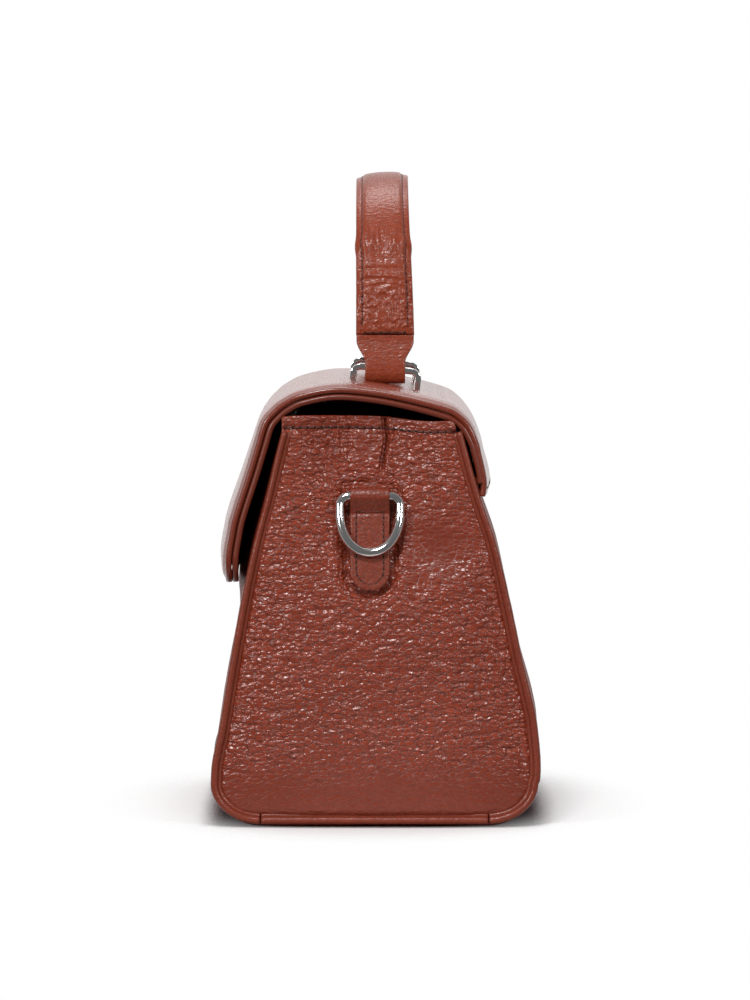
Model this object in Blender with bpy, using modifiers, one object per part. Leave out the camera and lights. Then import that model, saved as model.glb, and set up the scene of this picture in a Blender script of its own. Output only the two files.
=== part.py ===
"""Small top-handle satchel: a piped leather body, a magnetic flap, and a handle on two metal bridges.

The origin is the middle of the base, on the ground. X runs along the bag, +Y towards its back, +Z up.
"""

import math

import bmesh
import bpy
from mathutils import Matrix, Vector

# Clearance between pieces that touch, and the overrun of every cut
GAP = 0.0003
CUT_OVERRUN = 0.003

# Body: the outline that the piping follows, seen from the end
LENGTH = 0.250
BODY_HALF_DEPTH = 0.0635
MOUTH_HALF_DEPTH = 0.034
FRONT_MOUTH_HEIGHT = 0.161
BACK_MOUTH_DROP = 0.006
WIDEST_HEIGHT = 0.017
CORNER_REACH = 0.0185
LEAN = 0.001
SIDE_SHARES = (
    (0.0, 1.0),
    (0.06, 0.983),
    (0.13, 0.915),
    (0.36, 0.712),
    (0.63, 0.447),
    (0.78, 0.264),
    (0.92, 0.10),
    (1.0, 0.0),
)

# How far the long sides swell at mid-length, and the height at which the swell dies out
SWELL = 0.004
SWELL_HEIGHT = 0.178

# Layers of the body wall, from the outside in
PANEL_PROUD = 0.0003
PANEL_THICKNESS = 0.0016
BOARD_THICKNESS = 0.001
LINING_THICKNESS = 0.0008
BASE_SEAM_HEIGHT = 0.024
BOARD_MARGIN = 0.004
MOUTH_TRIM_HEIGHT = 0.0012

# Piping
PIPING_RADIUS = 0.0015
PIPING_BASE_HEIGHT = 0.0025
BACK_PIPING_TOP_DROP = 0.011
PIPING_JOINT = 0.0006

# Gussets, the two ends: a full lower belly and a valley folded in at the top
GUSSET_THICKNESS = 0.0014
GUSSET_RECESS = 0.0006
GUSSET_LINING_THICKNESS = 0.0007
GUSSET_BACK_DROP = 0.0025
GUSSET_BELLY = 0.0035
GUSSET_VALLEY = 0.008
VALLEY_START_SHARE = 0.42
BELLY_RISE_SHARE = 0.75

# Flap: three layers about a middle line that starts at the back seam and ends at the free front edge
FLAP_END_INSET = 0.001
FLAP_OUTER_THICKNESS = 0.0013
FLAP_BOARD_THICKNESS = 0.001
FLAP_LINING_THICKNESS = 0.001
FLAP_PLY_GAP = 0.00025
FLAP_RISE = 0.0105
FLAP_SEAM_DROP = 0.030
FLAP_END_DROP = 0.0645
FLAP_FRONT_AIR = 0.0056
FLAP_BACK_AIR = 0.0002
FLAP_LINING_LIFT = 0.011
FLAP_CORNER_RADIUS = 0.011
FLAP_BOARD_INSET = 0.004
FLAP_TOP_SHARES = (
    (1.06, -0.27),
    (0.93, 0.105),
    (0.81, 0.28),
    (0.42, 0.62),
    (0.0, 0.886),
    (-0.456, 1.0),
    (-0.84, 0.78),
    (-1.03, 0.486),
    (-1.13, 0.22),
)
FLAP_BACK_SHARES = ((0.20, 0.85), (0.42, 1.0), (0.66, 1.0), (0.86, 0.98))
FLAP_FRONT_SHARES = (
    (0.97, 0.69),
    (0.84, 0.74),
    (0.67, 0.81),
    (0.41, 0.95),
    (0.28, 0.91),
    (0.146, 0.83),
    (0.0, 0.57),
)
SEAM_STRIP_THICKNESS = 0.001
SEAM_STRIP_HEIGHT = 0.007

# Concealed magnetic snap
MAGNET_RADIUS = 0.006
MAGNET_THICKNESS = 0.0008
MAGNET_LIFT = 0.0155

# Bridges that carry the handle, in the tilted plane that they stand in
BRIDGE_X = 0.055
BRIDGE_Y = 0.0043
BRIDGE_TILT = math.radians(-5.5)
BRIDGE_SPAN = 0.029
BRIDGE_DEPTH = 0.005
BRIDGE_LEG = 0.0028
BRIDGE_BAR = 0.0024
BRIDGE_CORNER = 0.0043
BRIDGE_RISE = 0.0092
PLATE_HALF_WIDTH = 0.0045
PLATE_OVERHANG = 0.003
SCREW_RADIUS = 0.0007
SCREW_HEAD_RADIUS = 0.0015
SCREW_HEAD_HEIGHT = 0.0007
SCREW_SEAT_GAP = 0.0005
SCREW_BITE = 0.004

# Handle: an arch of two plies over a padded core, with a narrow loop at each end
HANDLE_RISE = 0.098
HANDLE_FOOT_RISE = 0.0080
HANDLE_PLY = 0.0012
HANDLE_WIDTH = 0.0239
HANDLE_GRIP_WIDTH = 0.0214
HANDLE_LEAN = 0.0012
HANDLE_SHOULDER = 0.0055
HANDLE_ARCH_SHARE = 0.83
CORE_HEIGHT_SHARE = 0.60
CORE_SIDE_INSET = 0.0035
LOOP_PLY = 0.001
LOOP_WIDTH = 0.0162
LOOP_SLACK = 0.0024
LOOP_STEM = 0.034

# Rings and the tabs that hold them
RING_WIRE_RADIUS = 0.0019
RING_HALF_WIDTH = 0.0119
RING_DROP = 0.0227
RING_CORNER = 0.0039
RING_BAR_HEIGHT = 0.1312
RING_SHOULDER_DROP = 0.0075
TAB_Y = -0.0018
TAB_WIDTH = 0.0156
TAB_THICKNESS = 0.0013
TAB_BOTTOM_HEIGHT = 0.0941
TAB_JOIN_DROP = 0.0065

# Mesh fineness
ACROSS_STEPS = 6
ROUND_STEPS = 6
FLAP_STEPS = 22
GUSSET_COLUMNS = 10

FRONT, BACK = -1, 1
SIDES = (("right", 1), ("left", -1))


def material(name, colour, roughness, metallic=0.0):
    made = bpy.data.materials.new(name)
    made.use_nodes = True
    shader = made.node_tree.nodes["Principled BSDF"]
    shader.inputs["Base Color"].default_value = (*colour, 1.0)
    shader.inputs["Roughness"].default_value = roughness
    shader.inputs["Metallic"].default_value = metallic
    made.diffuse_color = (*colour, 1.0)
    return made


def curve_through(table, share):
    """The value at share on a smooth curve through rows of (share, value)."""
    last = len(table) - 1
    row = max(i for i in range(last) if i == 0 or table[i][0] <= share)
    (x0, y0), (x1, y1) = table[row], table[row + 1]
    before, after = table[max(row - 1, 0)], table[min(row + 2, last)]
    span = x1 - x0
    slope0 = (y1 - before[1]) / (x1 - before[0]) * span
    slope1 = (after[1] - y0) / (after[0] - x0) * span
    t = (share - x0) / span
    return (
        (2 * t**3 - 3 * t**2 + 1) * y0
        + (t**3 - 2 * t**2 + t) * slope0
        + (3 * t**2 - 2 * t**3) * y1
        + (t**3 - t**2) * slope1
    )


def clamp(value, low, high):
    return max(low, min(high, value))


def smooth_step(value):
    share = clamp(value, 0.0, 1.0)
    return share * share * (3 - 2 * share)


def height_share(z):
    return clamp((z - WIDEST_HEIGHT) / (FRONT_MOUTH_HEIGHT - WIDEST_HEIGHT), 0.0, 1.0)


def lean(z):
    return -LEAN * smooth_step(2 * height_share(z))


def half_depth(z, inset=0.0):
    """Half the body's depth at height z, an inset in from the middle of the piping."""
    if z < WIDEST_HEIGHT:
        fall = (WIDEST_HEIGHT - z) / (WIDEST_HEIGHT - PIPING_BASE_HEIGHT - inset)
        across = math.sqrt(max(1 - fall**2, 0.0))
        return BODY_HALF_DEPTH - CORNER_REACH + (CORNER_REACH - inset) * across
    spread = curve_through(SIDE_SHARES, height_share(z))
    return MOUTH_HALF_DEPTH + (BODY_HALF_DEPTH - MOUTH_HALF_DEPTH) * spread - inset


def side_y(side, z, outward=0.0):
    return side * (half_depth(z) + outward) + lean(z)


def swell(x, y, z):
    """How far the long sides move out, most at mid-length and mid-height."""
    along = 1 - (2 * x / LENGTH) ** 2
    up = math.sin(math.pi * clamp(z / SWELL_HEIGHT, 0.0, 1.0))
    return SWELL * along * up * clamp(y / (BODY_HALF_DEPTH - CORNER_REACH), -1.0, 1.0)


def spaced(start, end, steps):
    return [start + (end - start) * i / steps for i in range(steps + 1)]


def side_points(side, low, high, outward, steps=10):
    """Points up one long side, from height low to high."""
    return [(side_y(side, z, outward), z) for z in spaced(low, high, steps)]


def corner_points(side, outward, bottom, steps=5):
    """The rounded lower corner, from the flat base up to the widest height."""
    middle = BODY_HALF_DEPTH - CORNER_REACH
    turned = []
    for angle in spaced(0.0, math.pi / 2, steps):
        y = middle + (CORNER_REACH + outward) * math.sin(angle)
        z = WIDEST_HEIGHT - (WIDEST_HEIGHT - bottom) * math.cos(angle)
        turned.append((side * y, z))
    return turned


def add_object(name, mesh, finish, collection, smooth=True):
    made = bpy.data.objects.new(name, mesh)
    collection.objects.link(made)
    mesh.materials.clear()
    mesh.materials.append(finish)
    if smooth:
        mesh.shade_smooth()
        mesh.set_sharp_from_angle(angle=math.radians(40))
    return made


def grid_mesh(name, columns, rows, place):
    """A grid of columns by rows steps, whose points stand at place(share across, row number)."""
    made = bmesh.new()
    bmesh.ops.create_grid(made, x_segments=columns, y_segments=rows, size=1)
    made.verts.ensure_lookup_table()
    for i, vert in enumerate(made.verts):
        row, column = divmod(i, columns + 1)
        vert.co = place(column / columns, row)
    bmesh.ops.recalc_face_normals(made, faces=made.faces)
    mesh = bpy.data.meshes.new(name)
    made.to_mesh(mesh)
    made.free()
    return mesh


def thicken(obj, thickness):
    wall = obj.modifiers.new("wall", "SOLIDIFY")
    wall.thickness = thickness
    wall.offset = 0
    wall.use_even_offset = True
    return obj


def long_sheet(name, points, ends, thickness, finish, collection):
    """A layer of the body wall: points of its middle in the end view, swept along X between ends."""

    def place(share, row):
        y, z = points[row]
        x = ends[0] + (ends[1] - ends[0]) * share
        return Vector((x, y + swell(x, y, z), z))

    mesh = grid_mesh(name, ACROSS_STEPS, len(points) - 1, place)
    return thicken(add_object(name, mesh, finish, collection), thickness)


def cut(obj, cutter):
    hole = obj.modifiers.new("cut " + cutter.name, "BOOLEAN")
    hole.operation = "DIFFERENCE"
    hole.solver = "EXACT"
    hole.object = cutter
    cutter.hide_render = True
    cutter.display_type = "WIRE"


def disc(name, radius, height, matrix, finish, collection, steps=24):
    """A cylinder about the matrix's Z axis, centred on its origin."""
    made = bmesh.new()
    bmesh.ops.create_cone(
        made,
        cap_ends=True,
        segments=steps,
        radius1=radius,
        radius2=radius,
        depth=height,
        matrix=matrix,
    )
    mesh = bpy.data.meshes.new(name)
    made.to_mesh(mesh)
    made.free()
    return add_object(name, mesh, finish, collection)


def curve_object(name, splines, collection, closed=False):
    data = bpy.data.curves.new(name, "CURVE")
    data.dimensions = "3D"
    for points in splines:
        spline = data.splines.new("POLY")
        spline.points.add(len(points) - 1)
        for point, place in zip(spline.points, points):
            point.co = (*place, 1.0)
        spline.use_cyclic_u = closed
    made = bpy.data.objects.new(name, data)
    collection.objects.link(made)
    return made


def tube(name, points, radius, finish, collection, closed=False):
    """A round cord along points, with filled ends."""
    made = curve_object(name, [points], collection, closed)
    made.data.bevel_depth = radius
    made.data.bevel_resolution = 2
    made.data.use_fill_caps = not closed
    made.data.materials.append(finish)
    return made


def outline_solid(name, points, depth, matrix, finish, collection):
    """A flat outline in its own XY plane, with half its depth on each side, placed by matrix."""
    guide = curve_object(name + " outline", [[(x, y, 0.0) for x, y in points]], collection, True)
    guide.data.dimensions = "2D"
    guide.data.fill_mode = "BOTH"
    guide.data.extrude = depth / 2
    graph = bpy.context.evaluated_depsgraph_get()
    mesh = bpy.data.meshes.new_from_object(guide.evaluated_get(graph))
    bpy.data.objects.remove(guide)
    made = bmesh.new()
    made.from_mesh(mesh)
    bmesh.ops.remove_doubles(made, verts=made.verts, dist=GAP / 100)
    bmesh.ops.recalc_face_normals(made, faces=made.faces)
    bmesh.ops.transform(made, matrix=matrix, verts=made.verts)
    made.to_mesh(mesh)
    made.free()
    return add_object(name, mesh, finish, collection, smooth=False)


def arc(centre, radius, start, end, steps=ROUND_STEPS):
    """Points on an arc between two angles in degrees."""
    return [
        (centre[0] + radius * math.cos(a), centre[1] + radius * math.sin(a))
        for a in spaced(math.radians(start), math.radians(end), steps)
    ]


class Route:
    """A smooth line through points in a plane, measured by distance along it."""

    def __init__(self, points, fineness=12):
        self.points = []
        for i in range(len(points) - 1):
            before, after = points[max(i - 1, 0)], points[min(i + 2, len(points) - 1)]
            for step in range(fineness):
                self.points.append(self.between(before, points[i], points[i + 1], after, step / fineness))
        self.points.append(Vector(points[-1]))
        self.marks = [0.0]
        for a, b in zip(self.points, self.points[1:]):
            self.marks.append(self.marks[-1] + (b - a).length)
        self.length = self.marks[-1]

    @staticmethod
    def between(p0, p1, p2, p3, t):
        p0, p1, p2, p3 = (Vector(p) for p in (p0, p1, p2, p3))
        return 0.5 * (
            2 * p1
            + (p2 - p0) * t
            + (2 * p0 - 5 * p1 + 4 * p2 - p3) * t**2
            + (3 * p1 - p0 - 3 * p2 + p3) * t**3
        )

    def at(self, distance, aside=0.0):
        """The point at a distance along, moved aside to the right of the way of travel."""
        last = len(self.points) - 2
        i = max(k for k in range(last + 1) if k == 0 or self.marks[k] <= distance)
        step = self.points[i + 1] - self.points[i]
        share = (distance - self.marks[i]) / (self.marks[i + 1] - self.marks[i])
        ahead = self.points[min(i + 2, last + 1)] - self.points[i]
        behind = self.points[i + 1] - self.points[max(i - 1, 0)]
        way = behind.normalized() * (1 - share) + ahead.normalized() * share
        across = Vector((way.y, -way.x)).normalized()
        return self.points[i] + step * share + across * aside

    def distance_of(self, test):
        """The first distance whose point passes the test."""
        return next(mark for mark, point in zip(self.marks, self.points) if test(point))


# Depths of the body's layers, measured in from the panels' outer face
BOARD_DEPTH = PANEL_THICKNESS + GAP
LINING_DEPTH = BOARD_DEPTH + BOARD_THICKNESS + GAP
WALL_DEPTH = LINING_DEPTH + LINING_THICKNESS
PIPING_X = LENGTH / 2 - PIPING_RADIUS
PANEL_END = PIPING_X - PIPING_RADIUS - GAP
PANEL_ENDS = (-PANEL_END, PANEL_END)
BACK_MOUTH_HEIGHT = FRONT_MOUTH_HEIGHT - BACK_MOUTH_DROP
MOUTH_HEIGHTS = {FRONT: FRONT_MOUTH_HEIGHT, BACK: BACK_MOUTH_HEIGHT}


def layer_offsets(depth, thickness):
    """How far the middle of a layer stands outside the outline, and above the ground."""
    middle = depth + thickness / 2
    return PANEL_PROUD - middle, middle


def make_panels(finish, board_finish, parts):
    """The front and back panels with their boards behind them, and the trim along the mouth."""
    made = {}
    for word, side in (("front", FRONT), ("back", BACK)):
        top = MOUTH_HEIGHTS[side] - MOUTH_TRIM_HEIGHT - GAP
        outward, _ = layer_offsets(0.0, PANEL_THICKNESS)
        points = side_points(side, BASE_SEAM_HEIGHT + GAP / 2, top, outward, steps=12)
        made[word + "_panel"] = long_sheet(
            word + "_panel", points, PANEL_ENDS, PANEL_THICKNESS, finish, parts
        )
        outward, _ = layer_offsets(BOARD_DEPTH, BOARD_THICKNESS)
        points = side_points(side, BASE_SEAM_HEIGHT + GAP / 2, top, outward, steps=12)
        board_end = PANEL_END - BOARD_MARGIN
        made[word + "_board"] = long_sheet(
            word + "_board", points, (-board_end, board_end), BOARD_THICKNESS, board_finish, parts
        )
        middle = MOUTH_HEIGHTS[side] - MOUTH_TRIM_HEIGHT / 2
        points = [(side_y(side, middle, PANEL_PROUD - depth), middle) for depth in (0.0, WALL_DEPTH)]
        long_sheet(word + "_mouth_trim", points, PANEL_ENDS, MOUTH_TRIM_HEIGHT, finish, parts)
    return made


def make_base(finish, board_finish, parts):
    """The panel that wraps under the bag, and its stiff board."""
    outward, bottom = layer_offsets(0.0, PANEL_THICKNESS)
    up = side_points(BACK, WIDEST_HEIGHT, BASE_SEAM_HEIGHT - GAP / 2, outward, steps=2)
    half = corner_points(BACK, outward, bottom) + up[1:]
    points = [(-y, z) for y, z in reversed(half)] + half
    long_sheet("base_panel", points, PANEL_ENDS, PANEL_THICKNESS, finish, parts)
    _, middle = layer_offsets(BOARD_DEPTH, BOARD_THICKNESS)
    flat_half = BODY_HALF_DEPTH - CORNER_REACH
    points = [(y, middle) for y in (-flat_half, flat_half)]
    board_end = PANEL_END - BOARD_MARGIN
    long_sheet("base_board", points, (-board_end, board_end), BOARD_THICKNESS, board_finish, parts)


def make_lining(finish, parts):
    """The lining of the compartment: one sheet from mouth to mouth."""
    outward, bottom = layer_offsets(LINING_DEPTH, LINING_THICKNESS)
    corner = corner_points(BACK, outward, bottom)
    halves = {}
    for side in (FRONT, BACK):
        top = MOUTH_HEIGHTS[side] - MOUTH_TRIM_HEIGHT - GAP
        up = side_points(side, WIDEST_HEIGHT, top, outward, steps=12)
        halves[side] = [(side * y, z) for y, z in corner] + up[1:]
    points = list(reversed(halves[FRONT])) + halves[BACK]
    long_sheet("lining_body", points, PANEL_ENDS, LINING_THICKNESS, finish, parts)


def make_piping(finish, parts):
    """Piping round each end: up the front, along the base and up the back."""
    corner = corner_points(BACK, 0.0, PIPING_BASE_HEIGHT, steps=8)
    joint = BODY_HALF_DEPTH - CORNER_REACH + PIPING_JOINT
    for word, end in SIDES:
        x = end * PIPING_X
        for name, side, drop in (("front", FRONT, 0.0), ("back", BACK, BACK_PIPING_TOP_DROP)):
            top = FRONT_MOUTH_HEIGHT - drop
            up = side_points(side, WIDEST_HEIGHT, top, 0.0, steps=14)
            path = [(side * y, z) for y, z in corner] + up[1:]
            path[0] = (side * joint, path[0][1])
            tube(
                f"piping_{name}_{word}",
                [(x, y, z) for y, z in path],
                PIPING_RADIUS,
                finish,
                parts,
            )
        reach = joint - PIPING_JOINT
        base = [(x, -reach, PIPING_BASE_HEIGHT), (x, reach, PIPING_BASE_HEIGHT)]
        tube(f"piping_base_{word}", base, PIPING_RADIUS, finish, parts)


def gusset_top(y):
    """The height of the gusset's top edge, a little lower towards the back."""
    share = clamp((y + MOUTH_HALF_DEPTH) / (2 * MOUTH_HALF_DEPTH), 0.0, 1.0)
    return FRONT_MOUTH_HEIGHT - GUSSET_BACK_DROP * share


def gusset_puff(y, z):
    """How far the gusset stands out of its flat plane at a point."""
    across = clamp((y - lean(z)) / half_depth(z), -1.0, 1.0)
    up = clamp((z - PIPING_BASE_HEIGHT) / (FRONT_MOUTH_HEIGHT - PIPING_BASE_HEIGHT), 0.0, 1.0)
    belly = GUSSET_BELLY * (1 - across**2) * math.sin(math.pi * up**BELLY_RISE_SHARE)
    fold = smooth_step((up - VALLEY_START_SHARE) / (1 - VALLEY_START_SHARE))
    return belly - GUSSET_VALLEY * (1 - across**2) ** 3 * fold


def gusset_sheet(name, end, depth, thickness, inset, finish, parts):
    """One layer of an end of the bag, its middle a depth in from the gusset's outer face."""
    plane = LENGTH / 2 - GUSSET_RECESS - depth - thickness / 2
    low = PIPING_BASE_HEIGHT + inset
    rows = [low + (WIDEST_HEIGHT - low) * (1 - math.cos(a)) for a in spaced(0.0, math.pi / 2, 3)]
    rows += spaced(WIDEST_HEIGHT, FRONT_MOUTH_HEIGHT, 9)[1:]

    def place(share, row):
        side = 2 * share - 1
        z = rows[row]
        y = side * half_depth(z, inset) + lean(z)
        if row == len(rows) - 1:
            z = gusset_top(y)
        return Vector((end * (plane + gusset_puff(y, z)), y, z))

    mesh = grid_mesh(name, GUSSET_COLUMNS, len(rows) - 1, place)
    return thicken(add_object(name, mesh, finish, parts), thickness)


def make_gussets(finish, lining_finish, parts):
    inset = PIPING_RADIUS + GAP
    for word, end in SIDES:
        gusset_sheet(f"gusset_{word}", end, 0.0, GUSSET_THICKNESS, inset, finish, parts)
        gusset_sheet(
            f"lining_gusset_{word}",
            end,
            GUSSET_THICKNESS + GAP,
            GUSSET_LINING_THICKNESS,
            inset + GUSSET_THICKNESS,
            lining_finish,
            parts,
        )


def flap_route():
    """The middle of the flap's thickness in the end view, from the back seam to the free edge."""
    stack = FLAP_OUTER_THICKNESS + FLAP_BOARD_THICKNESS + FLAP_LINING_THICKNESS + 2 * FLAP_PLY_GAP
    clear = PIPING_RADIUS + GAP + stack / 2
    seam = FRONT_MOUTH_HEIGHT - FLAP_SEAM_DROP
    end = FRONT_MOUTH_HEIGHT - FLAP_END_DROP
    seam_standoff = PIPING_RADIUS + 2 * GAP + FLAP_OUTER_THICKNESS - stack / 2
    points = [(side_y(BACK, seam, seam_standoff), seam)]
    for up, out in FLAP_BACK_SHARES:
        z = seam + (BACK_MOUTH_HEIGHT - seam) * up
        points.append((side_y(BACK, z, (clear + FLAP_BACK_AIR) * out), z))
    for across, up in FLAP_TOP_SHARES:
        points.append((MOUTH_HALF_DEPTH * across, FRONT_MOUTH_HEIGHT + FLAP_RISE * up))
    for up, out in FLAP_FRONT_SHARES:
        z = end + (FRONT_MOUTH_HEIGHT - end) * up
        points.append((side_y(FRONT, z, (clear + FLAP_FRONT_AIR) * out), z))
    return Route(points), stack


def flap_marks(route, start, end):
    """The rows that all layers of the flap share between two distances, closer at its free corners."""
    turn = route.length - FLAP_CORNER_RADIUS
    shared = spaced(0.0, turn, FLAP_STEPS)
    shared += [turn + FLAP_CORNER_RADIUS * math.sin(a) for a in spaced(0.0, math.pi / 2, 4)][1:]
    return [mark for mark in shared if start - GAP < mark < end + GAP]


def flap_sheet(name, route, marks, aside, inset, thickness, finish, parts, reach=None, columns=ACROSS_STEPS):
    """A layer of the flap. Without a reach it spans the flap and rounds the free end's corners."""
    half = LENGTH / 2 - FLAP_END_INSET - inset

    def place(share, row):
        y, z = route.at(marks[row], aside)
        if reach is None:
            left = clamp((marks[-1] - marks[row]) / FLAP_CORNER_RADIUS, 0.0, 1.0)
            width = half - FLAP_CORNER_RADIUS * (1 - math.sqrt(1 - (1 - left) ** 2))
            x = width * (2 * share - 1)
        else:
            x = reach[0] + (reach[1] - reach[0]) * share
        return Vector((x, y + swell(x, y, z), z))

    mesh = grid_mesh(name, columns, len(marks) - 1, place)
    return thicken(add_object(name, mesh, finish, parts), thickness)


def flap_frame(route, distance, aside):
    """A matrix at mid-length of the flap: its Z points out of the flap, and its Y along it."""
    y, z = route.at(distance, aside)
    ahead = route.at(distance + GAP, aside) - route.at(distance - GAP, aside)
    along = Vector((0.0, *ahead)).normalized()
    out = Vector((0.0, along.z, -along.y))
    matrix = Matrix((along.cross(out), along, out)).transposed().to_4x4()
    matrix.translation = Vector((0.0, y + swell(0.0, y, z), z))
    return matrix


def make_flap(finishes, parts, cutters):
    """The flap's three layers, its half of the snap and the strip that joins it to the back panel."""
    leather, board_finish, lining_finish, magnet_finish = finishes
    route, stack = flap_route()
    end = route.length
    outer_aside = (stack - FLAP_OUTER_THICKNESS) / 2
    board_aside = stack / 2 - FLAP_OUTER_THICKNESS - FLAP_PLY_GAP - FLAP_BOARD_THICKNESS / 2
    lining_aside = (FLAP_LINING_THICKNESS - stack) / 2
    marks = flap_marks(route, 0.0, end)
    outer = flap_sheet("flap_outer", route, marks, outer_aside, 0.0, FLAP_OUTER_THICKNESS, leather, parts)
    marks = flap_marks(route, FLAP_LINING_LIFT, end)
    lining = flap_sheet(
        "flap_lining", route, marks, lining_aside, 0.0, FLAP_LINING_THICKNESS, lining_finish, parts
    )
    marks = flap_marks(route, FLAP_LINING_LIFT + FLAP_BOARD_INSET, end - FLAP_BOARD_INSET)
    board = flap_sheet(
        "flap_board", route, marks, board_aside, FLAP_BOARD_INSET, FLAP_BOARD_THICKNESS, board_finish, parts
    )
    frame = flap_frame(route, end - MAGNET_LIFT, board_aside)
    disc("flap_magnet", MAGNET_RADIUS, MAGNET_THICKNESS, frame, magnet_finish, parts)
    hole = disc("flap_magnet_hole", MAGNET_RADIUS + GAP, CUT_OVERRUN, frame, magnet_finish, cutters)
    cut(board, hole)
    seam = FRONT_MOUTH_HEIGHT - FLAP_SEAM_DROP
    outward = PANEL_PROUD + GAP + SEAM_STRIP_THICKNESS / 2
    points = side_points(BACK, seam, seam + SEAM_STRIP_HEIGHT, outward, steps=2)
    long_sheet("flap_seam_strip", points, PANEL_ENDS, SEAM_STRIP_THICKNESS, leather, parts)
    return route, stack, board_aside, {"outer": outer, "lining": lining, "board": board}


def make_front_magnet(board, height, finish, parts, cutters):
    """The body's half of the snap, in a hole of the front board."""
    outward, _ = layer_offsets(BOARD_DEPTH, BOARD_THICKNESS)
    y = side_y(FRONT, height, outward)
    up = Vector((0.0, side_y(FRONT, height + GAP, outward) - y, GAP)).normalized()
    out = Vector((0.0, -up.z, up.y))
    frame = Matrix((up.cross(out), up, out)).transposed().to_4x4()
    frame.translation = Vector((0.0, y + swell(0.0, y, height), height))
    disc("front_magnet", MAGNET_RADIUS, MAGNET_THICKNESS, frame, finish, parts)
    hole = disc("front_magnet_hole", MAGNET_RADIUS + GAP, CUT_OVERRUN, frame, finish, cutters)
    cut(board, hole)


def bridge_frame(route, stack, x):
    """The plane that a bridge stands in: X along it towards the back, Y up, Z along the bag."""
    mark = route.distance_of(lambda point: point.x <= BRIDGE_Y)
    y, z = route.at(mark, stack / 2)
    lean_back = Matrix.Rotation(BRIDGE_TILT, 4, "X")
    upright = Matrix(((0, 0, 1, 0), (1, 0, 0, 0), (0, 1, 0, 0), (0, 0, 0, 1)))
    return Matrix.Translation((x, y, z)) @ lean_back @ upright


def flap_height_at(route, stack, frame, along):
    """How high the flap's outer face stands in a bridge's plane, at a place along it."""
    back = frame.inverted()
    x = frame.translation.x
    for mark in route.marks:
        y, z = route.at(mark, stack / 2)
        place = back @ Vector((x, y + swell(x, y, z), z))
        if place.x <= along:
            return place.y
    raise ValueError("The bridge is longer than the flap.")


def turned(name, profile, matrix, finish, collection, steps=14):
    """A profile of (radius, height) turned about the matrix's Z axis."""
    made = bmesh.new()
    verts = [made.verts.new((radius, 0.0, height)) for radius, height in profile]
    edges = [made.edges.new(pair) for pair in zip(verts, verts[1:])]
    bmesh.ops.spin(
        made,
        geom=verts + edges,
        cent=(0, 0, 0),
        axis=(0, 0, 1),
        angle=2 * math.pi,
        steps=steps,
        use_merge=True,
    )
    bmesh.ops.remove_doubles(made, verts=made.verts, dist=GAP / 100)
    bmesh.ops.recalc_face_normals(made, faces=made.faces)
    bmesh.ops.transform(made, matrix=matrix, verts=made.verts)
    mesh = bpy.data.meshes.new(name)
    made.to_mesh(mesh)
    made.free()
    return add_object(name, mesh, finish, collection)


def bridge_outline(feet):
    """The arch: its back and front feet, and square corners rounded outside and inside."""
    half, inner = BRIDGE_SPAN / 2, BRIDGE_SPAN / 2 - BRIDGE_LEG
    inside = BRIDGE_CORNER - BRIDGE_LEG
    shoulder = BRIDGE_RISE - BRIDGE_CORNER
    under = BRIDGE_RISE - BRIDGE_BAR - inside
    points = [(half, feet[BACK])]
    points += arc((half - BRIDGE_CORNER, shoulder), BRIDGE_CORNER, 0, 90)
    points += arc((BRIDGE_CORNER - half, shoulder), BRIDGE_CORNER, 90, 180)
    points += [(-half, feet[FRONT]), (-inner, feet[FRONT])]
    points += arc((inside - inner, under), inside, 180, 90, steps=3)
    points += arc((inner - inside, under), inside, 90, 0, steps=3)
    points.append((inner, feet[BACK]))
    return points


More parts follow.
